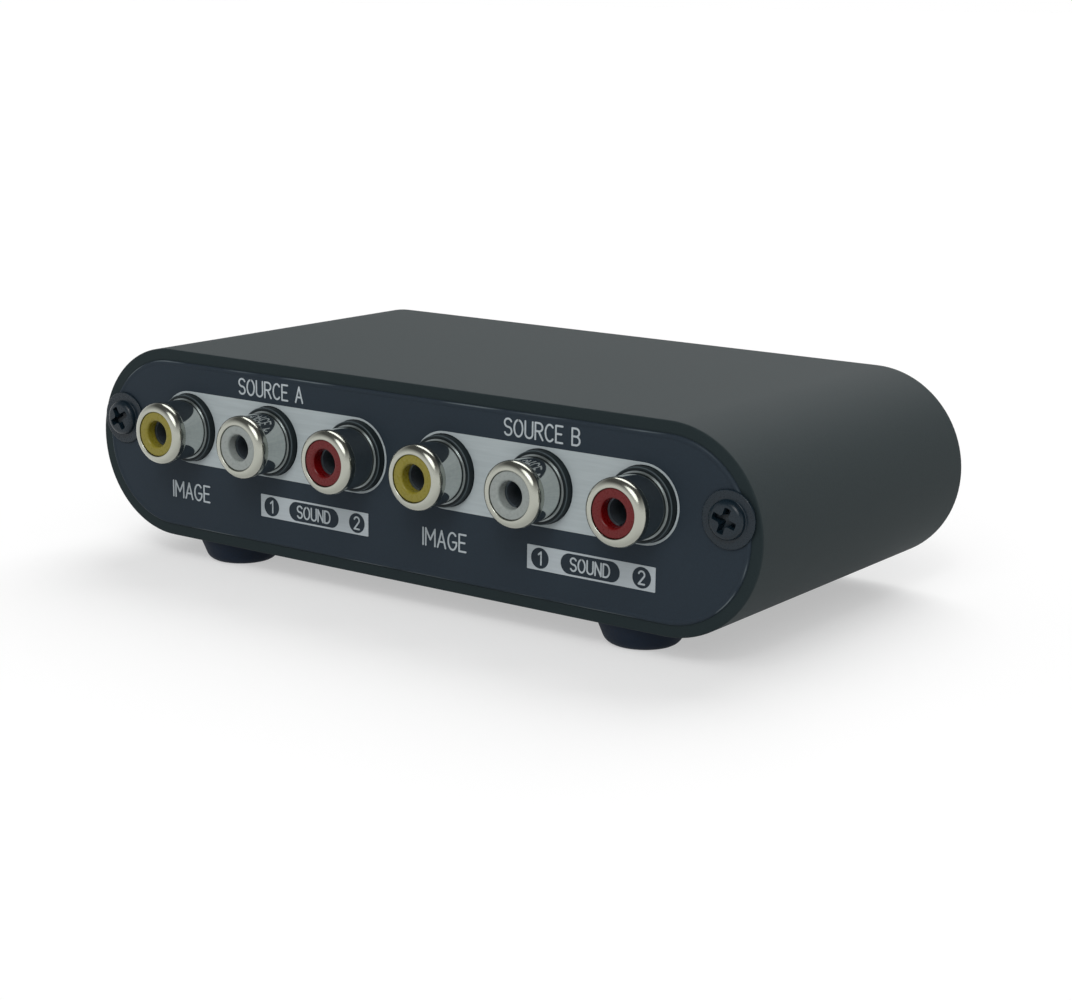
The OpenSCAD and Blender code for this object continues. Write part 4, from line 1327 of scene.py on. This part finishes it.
@dataclass
class Studio:
    """Plain floor, soft light and the camera."""

    floor_half: float = 30.0  # half the side of the floor, in metres
    floor_colour: str = "#c6c6c6"  # colour of the floor
    # light that the floor adds where it is seen, so that it is white away from the object
    floor_lift: float = 0.45
    sky: float = 0.32  # strength of the light from all round
    ceiling: float = 0.12  # strength of the sky overhead where it is mirrored
    # heights, as sines, between which the mirrored sky falls from white to that
    ceiling_rise: tuple[float, float] = (0.05, 0.65)
    lamps: tuple[Lamp, ...] = (
        Lamp("softbox_front", (0.35, -0.75, 0.75), 0.22, 45.0),
        Lamp("key_front", (0.35, -0.75, 0.75), 0.06, 9.0),
        Lamp("softbox_back", (-0.15, 0.6, 0.7), 0.4, 50.0),
    )
    camera_at: tuple[float, float, float] = (176.76, -241.93, 77.74)  # place of the camera
    azimuth: float = 35.70  # its direction round the object, in degrees
    elevation: float = 12.80  # its angle above the horizon, in degrees
    roll: float = 0.81  # its turn about its own axis, in degrees
    picture: float = 36.0  # width of its picture
    lens: float = 74.38  # its focal length
    sight: tuple[float, float] = (0.01, 20.0)  # nearest and farthest distance that it sees, in metres

    def floor(self) -> None:
        """Lays the pale floor: one flat square."""
        h = self.floor_half
        mesh = bpy.data.meshes.new("floor")
        mesh.from_pydata([(-h, -h, 0), (h, -h, 0), (h, h, 0), (-h, h, 0)], [], [(0, 1, 2, 3)])
        material = bpy.data.materials.new("floor_pale_card")
        tree = empty_tree(material)
        card = add_node(tree, "ShaderNodeBsdfDiffuse", {"Color": linear(self.floor_colour)})
        lift = add_node(tree, "ShaderNodeMath", {"operation": "MULTIPLY", 1: self.floor_lift}, {
            0: self.seen(tree)})
        glow = add_node(tree, "ShaderNodeEmission", links={"Strength": lift.outputs[0]})
        both = add_node(tree, "ShaderNodeAddShader", links={0: card.outputs[0], 1: glow.outputs[0]})
        add_node(tree, "ShaderNodeOutputMaterial", links={"Surface": both.outputs[0]})
        mesh.materials.append(material)
        floor = link_object("floor", mesh)

    def seen(self, tree: bpy.types.NodeTree) -> bpy.types.NodeSocket:
        """Socket that is 1 where the stage is seen, mirrored or seen through, and 0 where it lights.

        Args:
            tree: the node tree.
        Returns:
            The socket.
        """
        path = add_node(tree, "ShaderNodeLightPath").outputs
        most = path["Is Camera Ray"]
        for kind in ("Is Glossy Ray", "Is Transmission Ray"):
            most = add_node(tree, "ShaderNodeMath", {"operation": "MAXIMUM"}, {
                0: most, 1: path[kind]}).outputs[0]
        return most

    def world(self) -> None:
        """Sets the sky: white where it is seen, softer where it lights, with a grey ceiling in mirrors."""
        world = bpy.data.worlds.new("studio")
        bpy.context.scene.world = world
        tree = empty_tree(world)
        spot = add_node(tree, "ShaderNodeTexCoord").outputs["Generated"]
        height = add_node(tree, "ShaderNodeSeparateXYZ", links={"Vector": spot}).outputs["Z"]
        low, high = self.ceiling_rise
        white = add_node(tree, "ShaderNodeMapRange", {
            "From Min": low, "From Max": high, "To Min": 1.0, "To Max": self.ceiling}, {"Value": height})
        strength = add_node(tree, "ShaderNodeMapRange", {"To Min": self.sky}, {
            "Value": self.seen(tree), "To Max": white.outputs["Result"]})
        shine = add_node(tree, "ShaderNodeBackground", {"Color": (1, 1, 1, 1)}, {
            "Strength": strength.outputs["Result"]})
        add_node(tree, "ShaderNodeOutputWorld", links={"Surface": shine.outputs["Background"]})

    def camera(self) -> None:
        """Sets the camera: its three axes follow from azimuth, elevation and roll."""
        az, el, roll = (math.radians(v) for v in (self.azimuth, self.elevation, self.roll))
        back = np.array([math.sin(az) * math.cos(el), -math.cos(az) * math.cos(el), math.sin(el)])
        level = unit(np.cross(-back, [0, 0, 1]))
        rise = np.cross(level, -back)
        right = math.cos(roll) * level + math.sin(roll) * rise
        up = math.cos(roll) * rise - math.sin(roll) * level
        data = bpy.data.cameras.new("camera")
        data.sensor_fit, data.sensor_width, data.lens = "HORIZONTAL", self.picture, self.lens
        data.clip_start, data.clip_end = self.sight
        camera = link_object("camera", data)
        aim(camera, (right, up, back), np.array(self.camera_at) * MM)
        bpy.context.scene.camera = camera

    def build(self) -> None:
        """Sets up the whole studio."""
        bpy.context.scene.view_settings.view_transform = "Standard"
        self.floor()
        self.world()
        for lamp in self.lamps:
            lamp.hang()
        self.camera()


def main() -> None:
    """Builds the pieces in order, then the studio."""
    logging.basicConfig(level=logging.INFO, format="%(name)s: %(message)s")
    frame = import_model()
    nodes = frame["nodes"]
    press = next(j for j in frame["joints"] if j["name"] == "selector_press")

    HousingTube().build()
    for name, side in (("front_panel", Side.FRONT), ("rear_panel", Side.REAR)):
        EndPanel(name, side).build(nodes)
    PanelScrews().build()
    for name in ("foot_front_left", "foot_front_right", "foot_rear_left", "foot_rear_right"):
        Foot(name).build()
    dress(nodes, "circuit_board", LAMINATE)

    groups = (("source_1", Side.FRONT, "SOURCE A"), ("source_2", Side.FRONT, "SOURCE B"),
              ("shared", Side.REAR, "SHARED"))
    channels = (("video", YELLOW, "yellow_insulator"), ("left", WHITE, "white_insulator"),
                ("right", RED, "red_insulator"))
    for group, side, title in groups:
        jacks = [PhonoJack(f"{group}_{channel}", side, finish, slot) for channel, finish, slot in channels]
        for jack in jacks:
            jack.build(nodes)
        middle = jacks[1].station()
        PanelPrint().build(group, middle, abs(middle.x - jacks[0].station().x), title)

    Selector().build(nodes, (press["range_m"][1] - press["range_m"][0]) / MM)
    x, _, z = box_mm("selector_button").middle
    PanelPrint().build_button_marks("button_print", Station(x, panel_face(), z, Side.REAR))

    Studio().build()


if __name__ == "__main__":
    main()
